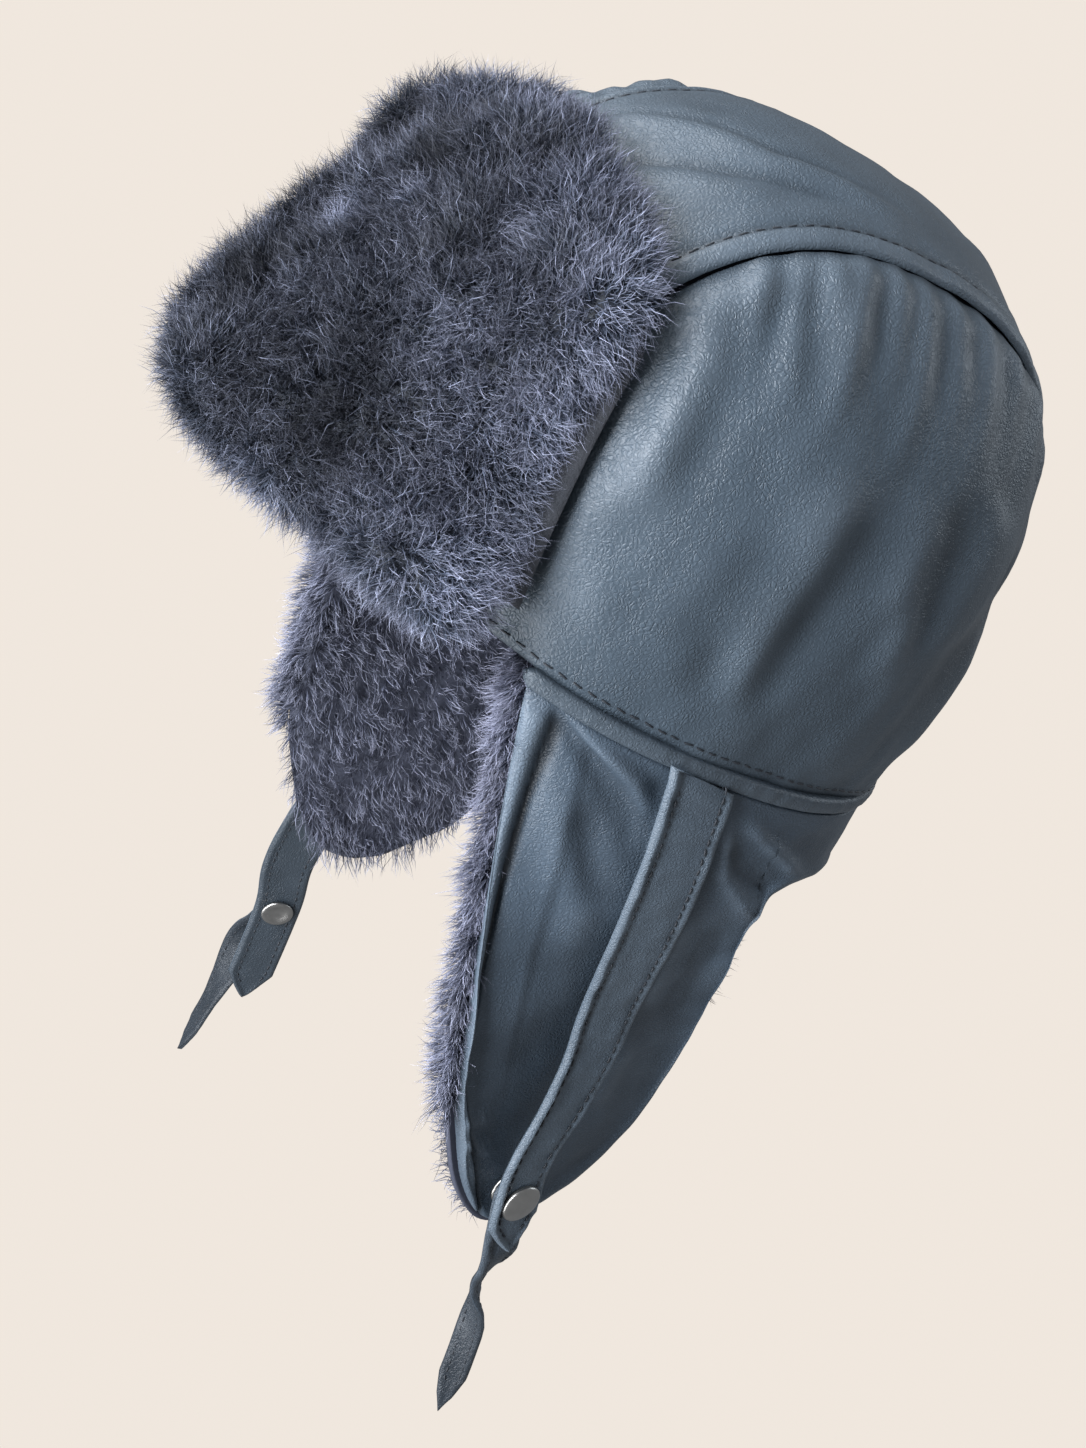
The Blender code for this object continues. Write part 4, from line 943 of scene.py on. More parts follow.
def band(name, path, n, widths, thick, twists, beads, slant, surface, seed):
    """Flat band along a path: a rounded section with a bead at each edge, a stitch groove and wrinkles."""
    tangent = np.gradient(path, axis=0)
    tangent /= np.linalg.norm(tangent, axis=-1, keepdims=True)
    n = n - (n * tangent).sum(-1, keepdims=True) * tangent
    n /= np.linalg.norm(n, axis=-1, keepdims=True)
    b = np.cross(n, tangent)
    c, s = np.cos(np.radians(twists))[:, None], np.sin(np.radians(twists))[:, None]
    n, b = n * c + b * s, b * c - n * s
    half = 16
    u = np.cos(np.linspace(np.pi, 0.0, half + 1))
    u = np.sign(u) * np.abs(u) ** 0.72
    flat = np.sqrt(np.clip(1.0 - np.abs(u) ** 9, 0.0, 1.0))
    inset = (1.0 - np.abs(u)) * (widths[:, None] / 2.0)
    side_bead = np.where(u < 0.0, beads[0], beads[1])
    along_edge = bell(inset - 0.0013, 0.0010)
    rise = BAND_FACE * flat + side_bead * along_edge * flat
    groove = 0.10 * bell(inset - STRAP_STITCH_IN, 0.0005)
    run = np.concatenate([[0.0], np.cumsum(np.linalg.norm(np.diff(path, axis=0), axis=1))])
    spot = np.stack([run[:, None] + 0.0 * u, u * widths[:, None], 0.0 * inset], -1)
    crumple = (0.10 * waves(spot, 0.011, seed) + 0.05 * waves(spot, 0.005, seed + 1)) * flat
    front = (rise - groove + crumple) * thick
    rear = -(BAND_FACE * flat + 0.6 * side_bead * along_edge * flat - 0.5 * crumple) * thick
    profile_u = np.concatenate([u, u[-2:0:-1]])
    profile_n = np.concatenate([front, rear[:, -2:0:-1]], 1)
    rings = (path[:, None] + b[:, None] * (profile_u[None] * widths[:, None] / 2.0)[..., None]
             + n[:, None] * profile_n[..., None])
    shear = slant * math.tan(math.radians(RIM_TILT)) * np.clip(1.0 - run / 0.024, 0.0, 1.0)
    rings[..., 2] -= shear[:, None] * (rings[..., 1] - path[:, None, 1])
    # Lighter along the edges for wear and painted highlight.
    worn = np.clip(bell(inset - 0.0010, 0.0010), 0.0, 1.0) * 0.35
    worn = np.concatenate([worn, worn[:, -2:0:-1]], 1)
    # Painted shade: darker in the stitch grooves and over the whole rear face.
    dark = np.concatenate([0.4 * bell(inset - STRAP_STITCH_IN, 0.0006), 0.55 + 0.0 * worn[:, half + 1:]], 1)
    made = closed_band(name, rings, surface, worn=worn * (1.0 - dark), dark=dark)
    return made, n, b


def edge_rows(path, n, b, widths, thick, inset, seed):
    """Stitch rows beside both edges of a band, on both its faces."""
    rows = []
    keep = widths / 2.0 > inset + 0.0008
    for face in (1, -1):
        for hand in (-1.0, 1.0):
            line = path + b * (hand * (widths / 2.0 - inset))[:, None]
            line += n * (face * (BAND_FACE * thick - BAND_STITCH_SUNK))
            rows.append((line[keep], n[keep] * face, BAND_STITCH_PITCH, BAND_STITCH_LENGTH, seed))
            seed += 1
    return rows


def lathe(name, profile, centre, axis, sides, surface):
    """Turn a closed profile of radius and height about an axis through a centre."""
    axis = np.asarray(axis) / np.linalg.norm(axis)
    p = np.cross(axis, (0.0, 0.0, 1.0))
    p /= np.linalg.norm(p)
    q = np.cross(axis, p)
    profile = np.asarray(profile)
    turn = np.arange(sides) * 2.0 * np.pi / sides
    ring = p * np.cos(turn)[:, None] + q * np.sin(turn)[:, None]
    rings = centre + axis * profile[:, 1][:, None, None] + ring[None] * profile[:, 0][:, None, None]
    return closed_band(name, rings, surface)


SNAP_CAP = 0.0130
SNAP_CAP_HEIGHT = 0.0026
SNAP_SHANK = 0.0036
SNAP_DISC = 0.0120
SNAP_DISC_THICK = 0.0012
# The straps' leather is given a lighter colour than the flaps': a painted highlight for the broad sheen along
# the straps.
strap_mat = leather("strap_leather_with_painted_highlight", (0.092, 0.120, 0.150), (0.165, 0.200, 0.235), 900.0, 0.8, 0.38)
tie_mat = leather("tie_leather", (0.050, 0.065, 0.083), (0.100, 0.124, 0.148), 900.0, 0.8, 0.38)
nickel_mat = bpy.data.materials.new("brushed_nickel")
nickel_mat.use_nodes = True
tree = nickel_mat.node_tree
spot = put(tree, "ShaderNodeTexCoord").outputs["Object"]
stretch = put(tree, "ShaderNodeMapping", Vector=spot, Scale=(500.0, 2200.0, 9000.0))
lines_of_brush = put(tree, "ShaderNodeTexNoise", Vector=stretch.outputs[0], Scale=1.0, Detail=3.0)
tarnish = put(tree, "ShaderNodeTexNoise", Vector=spot, Scale=420.0, Detail=4.0)
metal = put(tree, "ShaderNodeMix", {"data_type": "RGBA"}, i0=tarnish.outputs["Fac"],
            i6=(0.40, 0.385, 0.36, 1.0), i7=(0.52, 0.50, 0.47, 1.0))
rough = put(tree, "ShaderNodeMath", {"operation": "MULTIPLY_ADD"}, i0=tarnish.outputs["Fac"],
            i1=0.16, i2=0.26)
raised = put(tree, "ShaderNodeBump", Height=lines_of_brush.outputs["Fac"], Distance=0.00003)
tree.links.new(metal.outputs[2], tree.nodes["Principled BSDF"].inputs["Base Color"])
tree.links.new(rough.outputs[0], tree.nodes["Principled BSDF"].inputs["Roughness"])
tree.links.new(raised.outputs["Normal"], tree.nodes["Principled BSDF"].inputs["Normal"])
tree.nodes["Principled BSDF"].inputs["Metallic"].default_value = 1.0

for side, label in ((1, "left"), (-1, "right")):
    table, tie_table = STRAPS[label], TIES[label]
    path, n, share = centre_line(table, STRAP_LIE, STRAP_FREE, 0.46, side, 180)
    # The top end runs on up under the welt, where it is sewn in.
    lead = np.linspace(STRAP_TUCK, 0.0, 9)[:-1, None]
    upward = (path[0] - path[2]) / np.linalg.norm(path[0] - path[2])
    path = np.concatenate([path[0] + upward * lead - n[0] * lead * 0.25, path])
    n = np.concatenate([np.repeat(n[:1], len(lead), 0), n])
    share = np.concatenate([np.zeros(len(lead)), share])
    left = np.linalg.norm(path - path[-1], axis=-1)
    width = STRAP_WIDTH + (STRAP_END_WIDTH - STRAP_WIDTH) * smooth(share, 0.6, 0.85)
    width = width * np.clip(0.10 + 0.90 * (left / STRAP_POINT) ** 0.8, 0.0, 1.0)
    beads = (0.62, 0.25) if side == 1 else (0.25, 0.62)
    piece, strap_n, strap_b = band("strap_" + label + "_band", path, n, width, STRAP_THICK, 0.0 * share,
                                   beads, 1.0, strap_mat, 81)
    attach(piece, "root")
    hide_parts("strap_" + label)
    rows = edge_rows(path, strap_n, strap_b, width, STRAP_THICK, STRAP_STITCH_IN, 91)
    at = int(np.abs(path[:, 2] - table["height"][-2] * FLAP_LENGTH).argmin())
    centre, axis = path[at], strap_n[at]

    tie_path, tie_n, tie_share = centre_line(tie_table, 0.0, 0.0, 0.0, side, 140)
    tie_hole = int(np.abs(tie_path[:, 2] - centre[2]).argmin())
    face = tie_table["face"]
    seat = centre + axis * (face * (STRAP_THICK * LAP_SHARE + GAP))
    tie_path = tie_path + (seat - tie_path[tie_hole])
    tie_n = np.repeat(axis[None], len(tie_path), 0)
    below = centre[2] - tie_path[:, 2]
    bend = smooth(below / TIE_INWARD, tie_table["bend_from"], tie_table["bend_from"] + 3.06)
    tie_path = tie_path + axis * (face * TIE_INWARD * bend)[:, None]
    twists = side * through(tie_table["twist"], tie_share)
    reach = np.minimum(np.linalg.norm(tie_path - tie_path[-1], axis=-1),
                       np.linalg.norm(tie_path - tie_path[0], axis=-1))
    width = TIE_WIDTH * np.clip(0.18 + 0.82 * np.sqrt(reach / TIE_POINT), 0.0, 1.0)
    to_tip = np.linalg.norm(tie_path - tie_path[-1], axis=-1)
    point = np.clip(0.15 + 0.85 * (to_tip / 0.016) ** 0.8, 0.0, 1.0)
    width = width * (1.0 - 0.30 * smooth(tie_share, 0.40, 0.80)) * point
    piece, tie_n, tie_b = band("tie_" + label + "_band", tie_path, tie_n, width, TIE_THICK, twists,
                               (0.2, 0.2), 0.0, tie_mat, 85)
    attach(piece, "root")
    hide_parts("tie_" + label)
    rows += edge_rows(tie_path, tie_n, tie_b, width, TIE_THICK, TIE_STITCH_IN, 97)
    sew("strap_stitching_" + label, rows)

    # Snap: a domed cap outside, its shank through both bands and a flat disc inside, all of brushed nickel.
    lap = TIE_THICK * LAP_SHARE + GAP
    seat = STRAP_THICK * 0.50 + (lap if face > 0.0 else 0.0)
    r, h = SNAP_CAP / 2.0, SNAP_CAP_HEIGHT
    low = -(STRAP_THICK * 0.50 + GAP + (lap if face < 0.0 else 0.0))
    disc, shank, plate = SNAP_DISC / 2.0, SNAP_SHANK / 2.0, SNAP_DISC_THICK
    rise = np.linspace(0.0, np.pi / 2.0, 9)
    dome = [(r * math.cos(k) ** 0.9 if k < 1.5 else r * 0.02, seat + h * 0.42 + h * 0.58 * math.sin(k))
            for k in rise]
    profile = [(disc * 0.10, low - plate * 0.55), (disc * 0.55, low - plate * 0.60),
               (disc * 0.66, low - plate), (disc * 0.90, low - plate),
               (disc * 0.985, low - plate * 0.8), (disc, low - plate * 0.5), (disc * 0.98, low),
               (shank, low), (shank, seat), (r * 0.97, seat),
               (r, seat + h * 0.12), (r, seat + h * 0.36)] + dome
    piece = lathe("snap_" + label + "_metal", profile, centre, axis, 56, nickel_mat)
    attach(piece, "root")
    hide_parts("snap_" + label)


# Fur of the flaps: the wool side of the same sheepskin, seen as a fringe in front of the leather and inside.
# A lumpy pad of short wool lies on the skin, and bent tapering fibres stand out of it in small tufts.
# The lining's wool is paler than the visor's: painted light for light bounced onto the wool inside the hat.
PILE_ROOT = (0.030, 0.033, 0.048)
PILE_MIDDLE = (0.095, 0.102, 0.140)
PILE_TIP = (0.300, 0.305, 0.385)
LINING_DEPTH = 0.0095
# The lining's own first points, ahead of the leather's front edge.
LINING_FRONT = {"azimuth": (48.2, 49.2, 50.2), "drop": (0.655, 0.690, 0.720)}
LINING_REACH = 0.0060
LINING_TUCK = 0.0035
LINING_SHORTER = 0.0025
LINING_TOP = 0.0020
LINING_MEETING = 179.85
PILE_COUNT = 12400
LIP_COUNT = 3600
PILE_CURL = 0.24


def wool(name, root, middle, tip, roughness):
    """Wool fibres: dark at the root and pale at the tip, each fibre and each patch with its own tone."""
    made = bpy.data.materials.new(name)
    made.use_nodes = True
    tree = made.node_tree
    shader = tree.nodes["Principled BSDF"]
    along_at = put(tree, "ShaderNodeAttribute", {"attribute_name": "along"})
    tone_at = put(tree, "ShaderNodeAttribute", {"attribute_name": "tone"})
    ramp = put(tree, "ShaderNodeValToRGB", Fac=along_at.outputs["Fac"])
    ramp.color_ramp.elements[0].color = (*root, 1.0)
    ramp.color_ramp.elements[1].color = (*tip, 1.0)
    extra = ramp.color_ramp.elements.new(0.52)
    extra.color = (*middle, 1.0)
    spot = put(tree, "ShaderNodeTexCoord").outputs["Object"]
    fleck = put(tree, "ShaderNodeTexNoise", Vector=spot, Scale=900.0, Detail=2.0)
    fleck = put(tree, "ShaderNodeMapRange", Value=fleck.outputs["Fac"])
    fleck.inputs["To Min"].default_value = 0.75
    fleck.inputs["To Max"].default_value = 1.25
    strength = put(tree, "ShaderNodeMath", {"operation": "MULTIPLY"}, i0=tone_at.outputs["Fac"],
                   i1=fleck.outputs[0])
    shade = put(tree, "ShaderNodeVectorMath", {"operation": "SCALE"}, i0=ramp.outputs["Color"])
    tree.links.new(strength.outputs[0], shade.inputs["Scale"])
    tree.links.new(shade.outputs[0], shader.inputs["Base Color"])
    shader.inputs["Roughness"].default_value = roughness
    shader.inputs["Specular IOR Level"].default_value = 0.35
    return made


def fibres(name, root, normal, lean, length, width, curl, tone, surface, seed):
    """Bent tapering fibres: each rises along its normal, leans as the square of its height, and curls.

    A fibre has four heights, two points at each and one at its tip, and its own cell of the UV map.
    """
    rng = np.random.RandomState(seed)
    count = len(root)
    t = np.array([0.0, 0.38, 0.72, 1.0])
    free = rng.normal(size=(count, 3))
    free -= (free * normal).sum(-1, keepdims=True) * normal
    free /= np.linalg.norm(free, axis=-1, keepdims=True)
    beside = np.cross(normal, free)
    spin = rng.uniform(0.0, 2.0 * np.pi, count)
    hook = np.stack([np.zeros(count), np.sin(spin) * 0.35, np.sin(spin + 1.3) - np.sin(spin) * 0.4,
                     np.sin(spin + 2.9)], -1)
    rise = t * (1.0 - 0.22 * t * np.minimum(np.linalg.norm(lean, axis=-1), 1.6)[:, None])
    centre = (root[:, None] + normal[:, None] * (length[:, None] * rise)[..., None]
              + lean[:, None] * (length[:, None] * t ** 2 * 0.62)[..., None]
              + free[:, None] * (length[:, None] * curl * hook)[..., None])
    fat = width[:, None] * np.array([1.0, 0.92, 0.66])
    flat_side = beside * np.cos(spin)[:, None] + free * np.sin(spin)[:, None]
    left_side = centre[:, :3] - flat_side[:, None] * fat[..., None] / 2.0
    right_side = centre[:, :3] + flat_side[:, None] * fat[..., None] / 2.0
    points = np.concatenate([np.stack([left_side, right_side], 2).reshape(count, 6, 3), centre[:, 3:]], 1)
    base = (np.arange(count) * 7)[:, None, None]
    quads = (np.array([[0, 1, 3, 2], [2, 3, 5, 4]])[None] + base).reshape(-1, 4)
    tips = (np.array([[4, 5, 6]])[None] + base).reshape(-1, 3)
    made = make_mesh(name, points, [quads, tips], surface)
    along = np.tile(np.array([0.0, 0.0, 0.38, 0.38, 0.72, 0.72, 1.0]), count)
    add_values(made, "along", along)
    add_values(made, "tone", np.repeat(tone, 7))
    side_count = int(math.ceil(math.sqrt(count)))
    cell = 1.0 / side_count
    origin = np.stack([np.arange(count) % side_count, np.arange(count) // side_count], -1) * cell
    inside = np.array([[0.15, 0.1], [0.85, 0.1], [0.2, 0.4], [0.8, 0.4],
                       [0.3, 0.68], [0.7, 0.68], [0.5, 0.9]])
    place = (origin[:, None] + inside[None] * cell).reshape(-1, 2)
    corners = np.concatenate([quads.ravel(), tips.ravel()])
    layer = made.data.uv_layers.new(name="OFBake")
    layer.data.foreach_set("uv", place[corners].astype(np.float32).ravel())
    return made


def scatter(grid, count, seed, weight=None):
    """Random points on a grid surface, evenly by area or by a weight: places, normals and grid shares."""
    rng = np.random.RandomState(seed)
    rows, columns = grid.shape[:2]
    a, b = grid[:-1, :-1], grid[1:, :-1]
    c, d = grid[1:, 1:], grid[:-1, 1:]
    n = np.cross(c - a, d - b)
    area = np.linalg.norm(n, axis=-1) / 2.0
    if weight is not None:
        area = area * weight
    pick = rng.choice(area.size, count, p=(area / area.sum()).ravel())
    i, j = np.unravel_index(pick, area.shape)
    u, v = rng.uniform(size=count), rng.uniform(size=count)
    p = (a[i, j] * ((1 - u) * (1 - v))[:, None] + b[i, j] * (u * (1 - v))[:, None]
         + c[i, j] * (u * v)[:, None] + d[i, j] * ((1 - u) * v)[:, None])
    n = n[i, j] / np.maximum(np.linalg.norm(n[i, j], axis=-1, keepdims=True), 1e-12)
    return p, n, (i + u) / (rows - 1), (j + v) / (columns - 1)


def tufted(points, normal, size, seed):
    """Lean of fibres in tufts: a smooth field of directions along the surface."""
    field = np.stack([waves(points, size, seed + k, 12) for k in range(3)], -1)
    return field - (field * normal).sum(-1, keepdims=True) * normal


pile_mat = wool("lining_wool_with_painted_bounce", PILE_ROOT, PILE_MIDDLE, PILE_TIP, 0.62)
for side, label in ((1, "left"), (-1, "right")):
    table_a = np.concatenate([LINING_FRONT["azimuth"], FLAP_OUTLINE["azimuth"]])
    table_d = np.concatenate([LINING_FRONT["drop"], FLAP_OUTLINE["drop"]])
    edge_share = np.linspace(0.0, 1.0, 100)
    degrees = through(table_a, edge_share)
    degrees[-1] = LINING_MEETING
    grow = LINING_REACH * (1.0 - smooth(degrees, 74.0, 86.0)) - LINING_TUCK * smooth(degrees, 88.0, 100.0)
    grow -= LINING_SHORTER
    ends = through(table_d, edge_share) * FLAP_LENGTH + grow
    level = crowded(46, 0.5)
    down = LINING_TOP + (ends[:, None] - LINING_TOP) * level[None]
    a = degrees[:, None] * np.ones(level.shape)[None]
    lip = (1.0 - smooth(a, 49.0, 50.8)) * LEATHER
    outer_off = -LEATHER - 2.5 * GAP + lip * smooth(down, 0.004, 0.012) - 0.0006 * smooth(a, 50.0, 51.5)
    v = level[None] * np.ones(a.shape)
    thin = np.minimum(1.0, 0.35 + 3.0 * np.minimum(v, 1.0 - v)) * (0.45 + 0.55 * smooth(a, 48.0, 53.0))
    outer = flap(a, down, outer_off, side)
    lumps = waves(outer, 0.0065, 111 + side)
    inner_off = outer_off - 0.0012 - (LINING_DEPTH - 0.0062) * thin - 0.0007 * (1.0 + lumps) * thin
    inner = flap(a, down, inner_off, side)
    pad = skin("flap_wool_pad_" + label, outer, inner, pile_mat, along=0.0 * v + 0.30, tone=0.0 * v + 0.9)
    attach(pad, "root")
    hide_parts("fur_lining_flap_" + label)
    front_more = 1.0 + 2.6 * (1.0 - smooth(a, 49.0, 54.0))
    front_more += 0.8 * smooth(v, 0.86, 1.0) * (1.0 - smooth(a, 85.0, 98.0))
    root, normal, gi, gj = scatter(inner, PILE_COUNT, 121 + side, front_more[:-1, :-1])
    inward = flap(a, down, outer_off - 0.01, side) - outer
    nearest = np.minimum((gi * 99).astype(int), 99), np.minimum((gj * 45).astype(int), 45)
    normal *= np.sign((inward[nearest] * normal).sum(-1))[:, None]
    # The lip: more fibres on the outer face of the first rows, in front of the leather's edge.
    lip_root, lip_normal, lip_i, lip_j = scatter(outer[:14], LIP_COUNT, 191 + side)
    lip_normal *= np.sign(lip_normal[:, :1] * side)
    root, normal = np.concatenate([root, lip_root]), np.concatenate([normal, lip_normal])
    gi, gj = np.concatenate([gi, lip_i * 13.0 / 99.0]), np.concatenate([gj, lip_j])
    edge_front = 1.0 - smooth(gi, 0.02, 0.17)
    edge_low = smooth(gj, 0.90, 1.0)
    where = np.interp(gi, edge_share, degrees)
    rear = smooth(where, 84.0, 98.0)
    forward = np.array([0.10 * side, -1.0, -0.12])
    bottom = np.array([0.0, 0.0, -1.0])
    lean = tufted(root, normal, 0.0075, 131) * 0.45 + tufted(root, normal, 0.022, 141) * 0.35
    rng = np.random.RandomState(151 + side)
    lean += rng.normal(size=lean.shape) * 0.28
    lean += forward * (0.75 * edge_front)[:, None] + bottom * (0.8 * edge_low * (1.0 - rear))[:, None]
    lean -= bottom * (0.3 * edge_low * rear)[:, None]
    lean += np.array([0.0, 0.0, -0.25])
    normal = normal + forward * (1.25 * edge_front)[:, None]
    normal += bottom * (0.5 * edge_low * (1.0 - rear))[:, None]
    normal /= np.linalg.norm(normal, axis=-1, keepdims=True)
    length = rng.uniform(0.0052, 0.0080, len(root)) * (1.0 + 0.10 * waves(root, 0.009, 161))
    length *= 1.0 - 0.35 * rear * edge_low
    length *= 1.0 - 0.16 * edge_front
    tone = rng.uniform(0.70, 1.35, len(root)) * (1.0 + 0.20 * waves(root, 0.012, 171) + 0.45 * edge_front)
    width = rng.uniform(0.00022, 0.00036, len(root))
    piece = fibres("flap_wool_" + label, root, normal, lean, length, width, PILE_CURL, tone, pile_mat,
                   181 + side)
    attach(piece, "root")
    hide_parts("fur_lining_flap_" + label)


# Fur of the crown: the wool side of the crown's own sheepskin, a dome of short dense pile inside it.
# It is made as the flap's fur is, with its fibres brushed towards the rim.
CROWN_FIBRES = 8000
CROWN_CURL = 0.14
CROWN_PAD_IN = LEATHER + 3.75 * GAP
theta = np.linspace(0.0, 2.0 * np.pi, 73)
low = rim_phi(theta, 0.0004)
climb = np.linspace(0.0, 1.0, 34) ** 0.9
phi = low[:, None] + (np.pi / 2.0 - low[:, None]) * climb[None]
d = direction(theta[:, None] * np.ones(34)[None], phi)
edge = smooth(climb, 0.0, 0.05)[None] * np.ones(phi.shape)
skin_side = crown(d, np.full(phi.shape, -CROWN_PAD_IN))
lumps = waves(skin_side, 0.0075, 201)
pile_side = crown(d, -CROWN_PAD_IN - 0.0012 - 0.0026 * edge - 0.0008 * (1.0 + lumps) * edge)
skin_side[-1], pile_side[-1] = skin_side[0], pile_side[0]
count, wide_of = phi.shape
quads = grid_faces(count, wide_of)
start = np.arange(count - 1) * wide_of
wall = np.stack([start, start + wide_of, start + wide_of + phi.size, start + phi.size], -1)
pad = make_mesh("crown_wool_pad", np.concatenate([skin_side.reshape(-1, 3), pile_side.reshape(-1, 3)]),
                [quads, quads[:, ::-1] + phi.size, wall], pile_mat)
add_values(pad, "along", np.full(2 * phi.size, 0.12))
add_values(pad, "tone", np.full(2 * phi.size, 0.9))
finish(pad)
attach(pad, "root")
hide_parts("fur_lining_crown")
root, normal, gi, gj = scatter(pile_side, CROWN_FIBRES, 211)
normal *= -np.sign((normal * (root - np.array([0.0, 0.0, 0.01]))).sum(-1))[:, None]
rng = np.random.RandomState(221)
lean = tufted(root, normal, 0.009, 231) * 0.5 + rng.normal(size=root.shape) * 0.3 + np.array([0.0, 0.0, -0.4])
length = rng.uniform(0.0045, 0.0072, len(root))
tone = rng.uniform(0.6, 1.2, len(root)) * (1.0 + 0.2 * waves(root, 0.014, 241))
width = rng.uniform(0.0003, 0.00045, len(root))
piece = fibres("crown_wool", root, normal, lean, length, width, CROWN_CURL, tone, pile_mat, 251)
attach(piece, "root")
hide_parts("fur_lining_crown")


# Visor hide: the skin that carries the visor's fur, standing against the front of the crown.
# Its suede face shows as a thin edge from behind.
VISOR_END_LOW = 48.8
VISOR_END_HIGH = 41.0
VISOR_FOLD = -6.4
VISOR_TOP = 54.8
VISOR_HIDE_OFFSET = 0.0034
VISOR_HIDE = 0.0015
VISOR_EDGE = 0.0035
# How far the fur's surface stands off the crown, from the far temple to the near one, at four heights.
VISOR_DEPTH = {
    "fold": (0.0310, 0.0447, 0.0620, 0.0579, 0.0400, 0.0404),
    "lower": (0.0171, 0.0360, 0.0437, 0.0429, 0.0322, 0.0145),
    "upper": (0.0280, 0.0271, 0.0282, 0.0284, 0.0260, 0.0203),
    "edge": (0.0312, 0.0219, 0.0246, 0.0245, 0.0237, 0.0281),
}


def visor(u, v, offset):
    """Point of the visor: u from the far temple to the near one, v from the fold to the top edge."""
    u, v = np.broadcast_arrays(np.asarray(u, float), np.asarray(v, float))
    size = np.abs(u)
    low_phi = VISOR_FOLD + 4.4 * size ** 2
    high_phi = VISOR_TOP - 9.8 * size ** 2 - 7.0 * np.maximum(size - 0.55, 0.0) ** 2 / 0.45 ** 2
    azimuth = VISOR_END_LOW * u + (VISOR_END_HIGH * u - VISOR_END_LOW * u) * v
    return crown(direction(np.radians(azimuth), np.radians(low_phi + (high_phi - low_phi) * v)), offset)


suede_mat = bpy.data.materials.new("suede_hide")
suede_mat.use_nodes = True
tree = suede_mat.node_tree
spot = put(tree, "ShaderNodeTexCoord").outputs["Object"]
nap = put(tree, "ShaderNodeTexNoise", Vector=spot, Scale=1400.0, Detail=4.0, Roughness=0.7)
cloud = put(tree, "ShaderNodeTexNoise", Vector=spot, Scale=60.0, Detail=3.0)
tint = put(tree, "ShaderNodeMix", {"data_type": "RGBA"}, i0=cloud.outputs["Fac"],
           i6=(0.040, 0.045, 0.055, 1.0), i7=(0.085, 0.088, 0.100, 1.0))
raised = put(tree, "ShaderNodeBump", Height=nap.outputs["Fac"], Distance=0.0004)
tree.links.new(tint.outputs[2], tree.nodes["Principled BSDF"].inputs["Base Color"])
tree.links.new(raised.outputs["Normal"], tree.nodes["Principled BSDF"].inputs["Normal"])
tree.nodes["Principled BSDF"].inputs["Roughness"].default_value = 0.85

u, v = np.meshgrid(np.linspace(-0.955, 0.955, 56), np.linspace(0.115, 0.965, 28), indexing="ij")
hide = visor(u, v, np.full(u.shape, VISOR_HIDE_OFFSET + VISOR_HIDE))
from_low, to_top = lengths(hide, 1)
from_far, to_near = lengths(hide, 0)
round_off = rounding(np.minimum(np.minimum(from_low, to_top), np.minimum(from_far, to_near)), 0.0007)
ripple = 0.0002 * waves(hide, 0.02, 261)
piece = skin("visor_skin", visor(u, v, VISOR_HIDE_OFFSET + VISOR_HIDE + ripple - round_off),
             visor(u, v, VISOR_HIDE_OFFSET + ripple + round_off), suede_mat)
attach(piece, "root")
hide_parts("visor_hide")


# Visor fur: dense curled wool on the turned-up visor, dark in its depth and pale at its tips and edges.
# A lumpy pad stands well below the fur's surface, and tufts of bent fibres grow from it on every side.
FUR_ROOT = (0.012, 0.015, 0.022)
FUR_MIDDLE = (0.036, 0.043, 0.060)
FUR_TIP = (0.165, 0.172, 0.222)
FUR_LENGTH = 0.0082
FUR_SINK = 0.0062
FUR_CURL = 0.36
FIBRES = 75000
PAD_LOW = 0.035
PAD_TALL = 0.930
PAD_FAR = 0.955
PAD_NEAR = 0.865
PAD_NEAR_WAIST = 0.035
fur_mat = wool("visor_wool", FUR_ROOT, FUR_MIDDLE, FUR_TIP, 0.55)
# Pale wisps of the fur's own tone, and broader paler and darker patches that paint the sheen and shade of the
# fur's lay: place across, place up, size across, size up, how much paler.
FUR_PATCHES = (
    {"across": -0.33, "up": 0.55, "wide": 0.035, "tall": 0.030, "paler": 3.0},
    {"across": -0.22, "up": 0.52, "wide": 0.040, "tall": 0.040, "paler": 3.2},
    {"across": -0.10, "up": 0.68, "wide": 0.045, "tall": 0.045, "paler": 1.8},
    {"across": 0.98, "up": 0.60, "wide": 0.20, "tall": 0.20, "paler": 1.5},
    {"across": 0.95, "up": 0.15, "wide": 0.17, "tall": 0.17, "paler": 1.7},
    {"across": 0.96, "up": 0.90, "wide": 0.18, "tall": 0.25, "paler": 0.8},
    {"across": 0.55, "up": 0.92, "wide": 0.30, "tall": 0.10, "paler": 0.6},
    {"across": -0.92, "up": 0.04, "wide": 0.17, "tall": 0.13, "paler": 2.4},
    {"across": -0.45, "up": 0.02, "wide": 0.25, "tall": 0.07, "paler": 1.0},
    {"across": 0.45, "up": 0.03, "wide": 0.35, "tall": 0.09, "paler": 0.7},
    {"across": 0.52, "up": 0.52, "wide": 0.16, "tall": 0.10, "paler": 0.7},
    {"across": 0.05, "up": 0.50, "wide": 0.10, "tall": 0.09, "paler": 0.4},
    {"across": -0.45, "up": 0.32, "wide": 0.35, "tall": 0.18, "paler": -0.35},
    {"across": 0.35, "up": 0.28, "wide": 0.32, "tall": 0.14, "paler": -0.40},
)

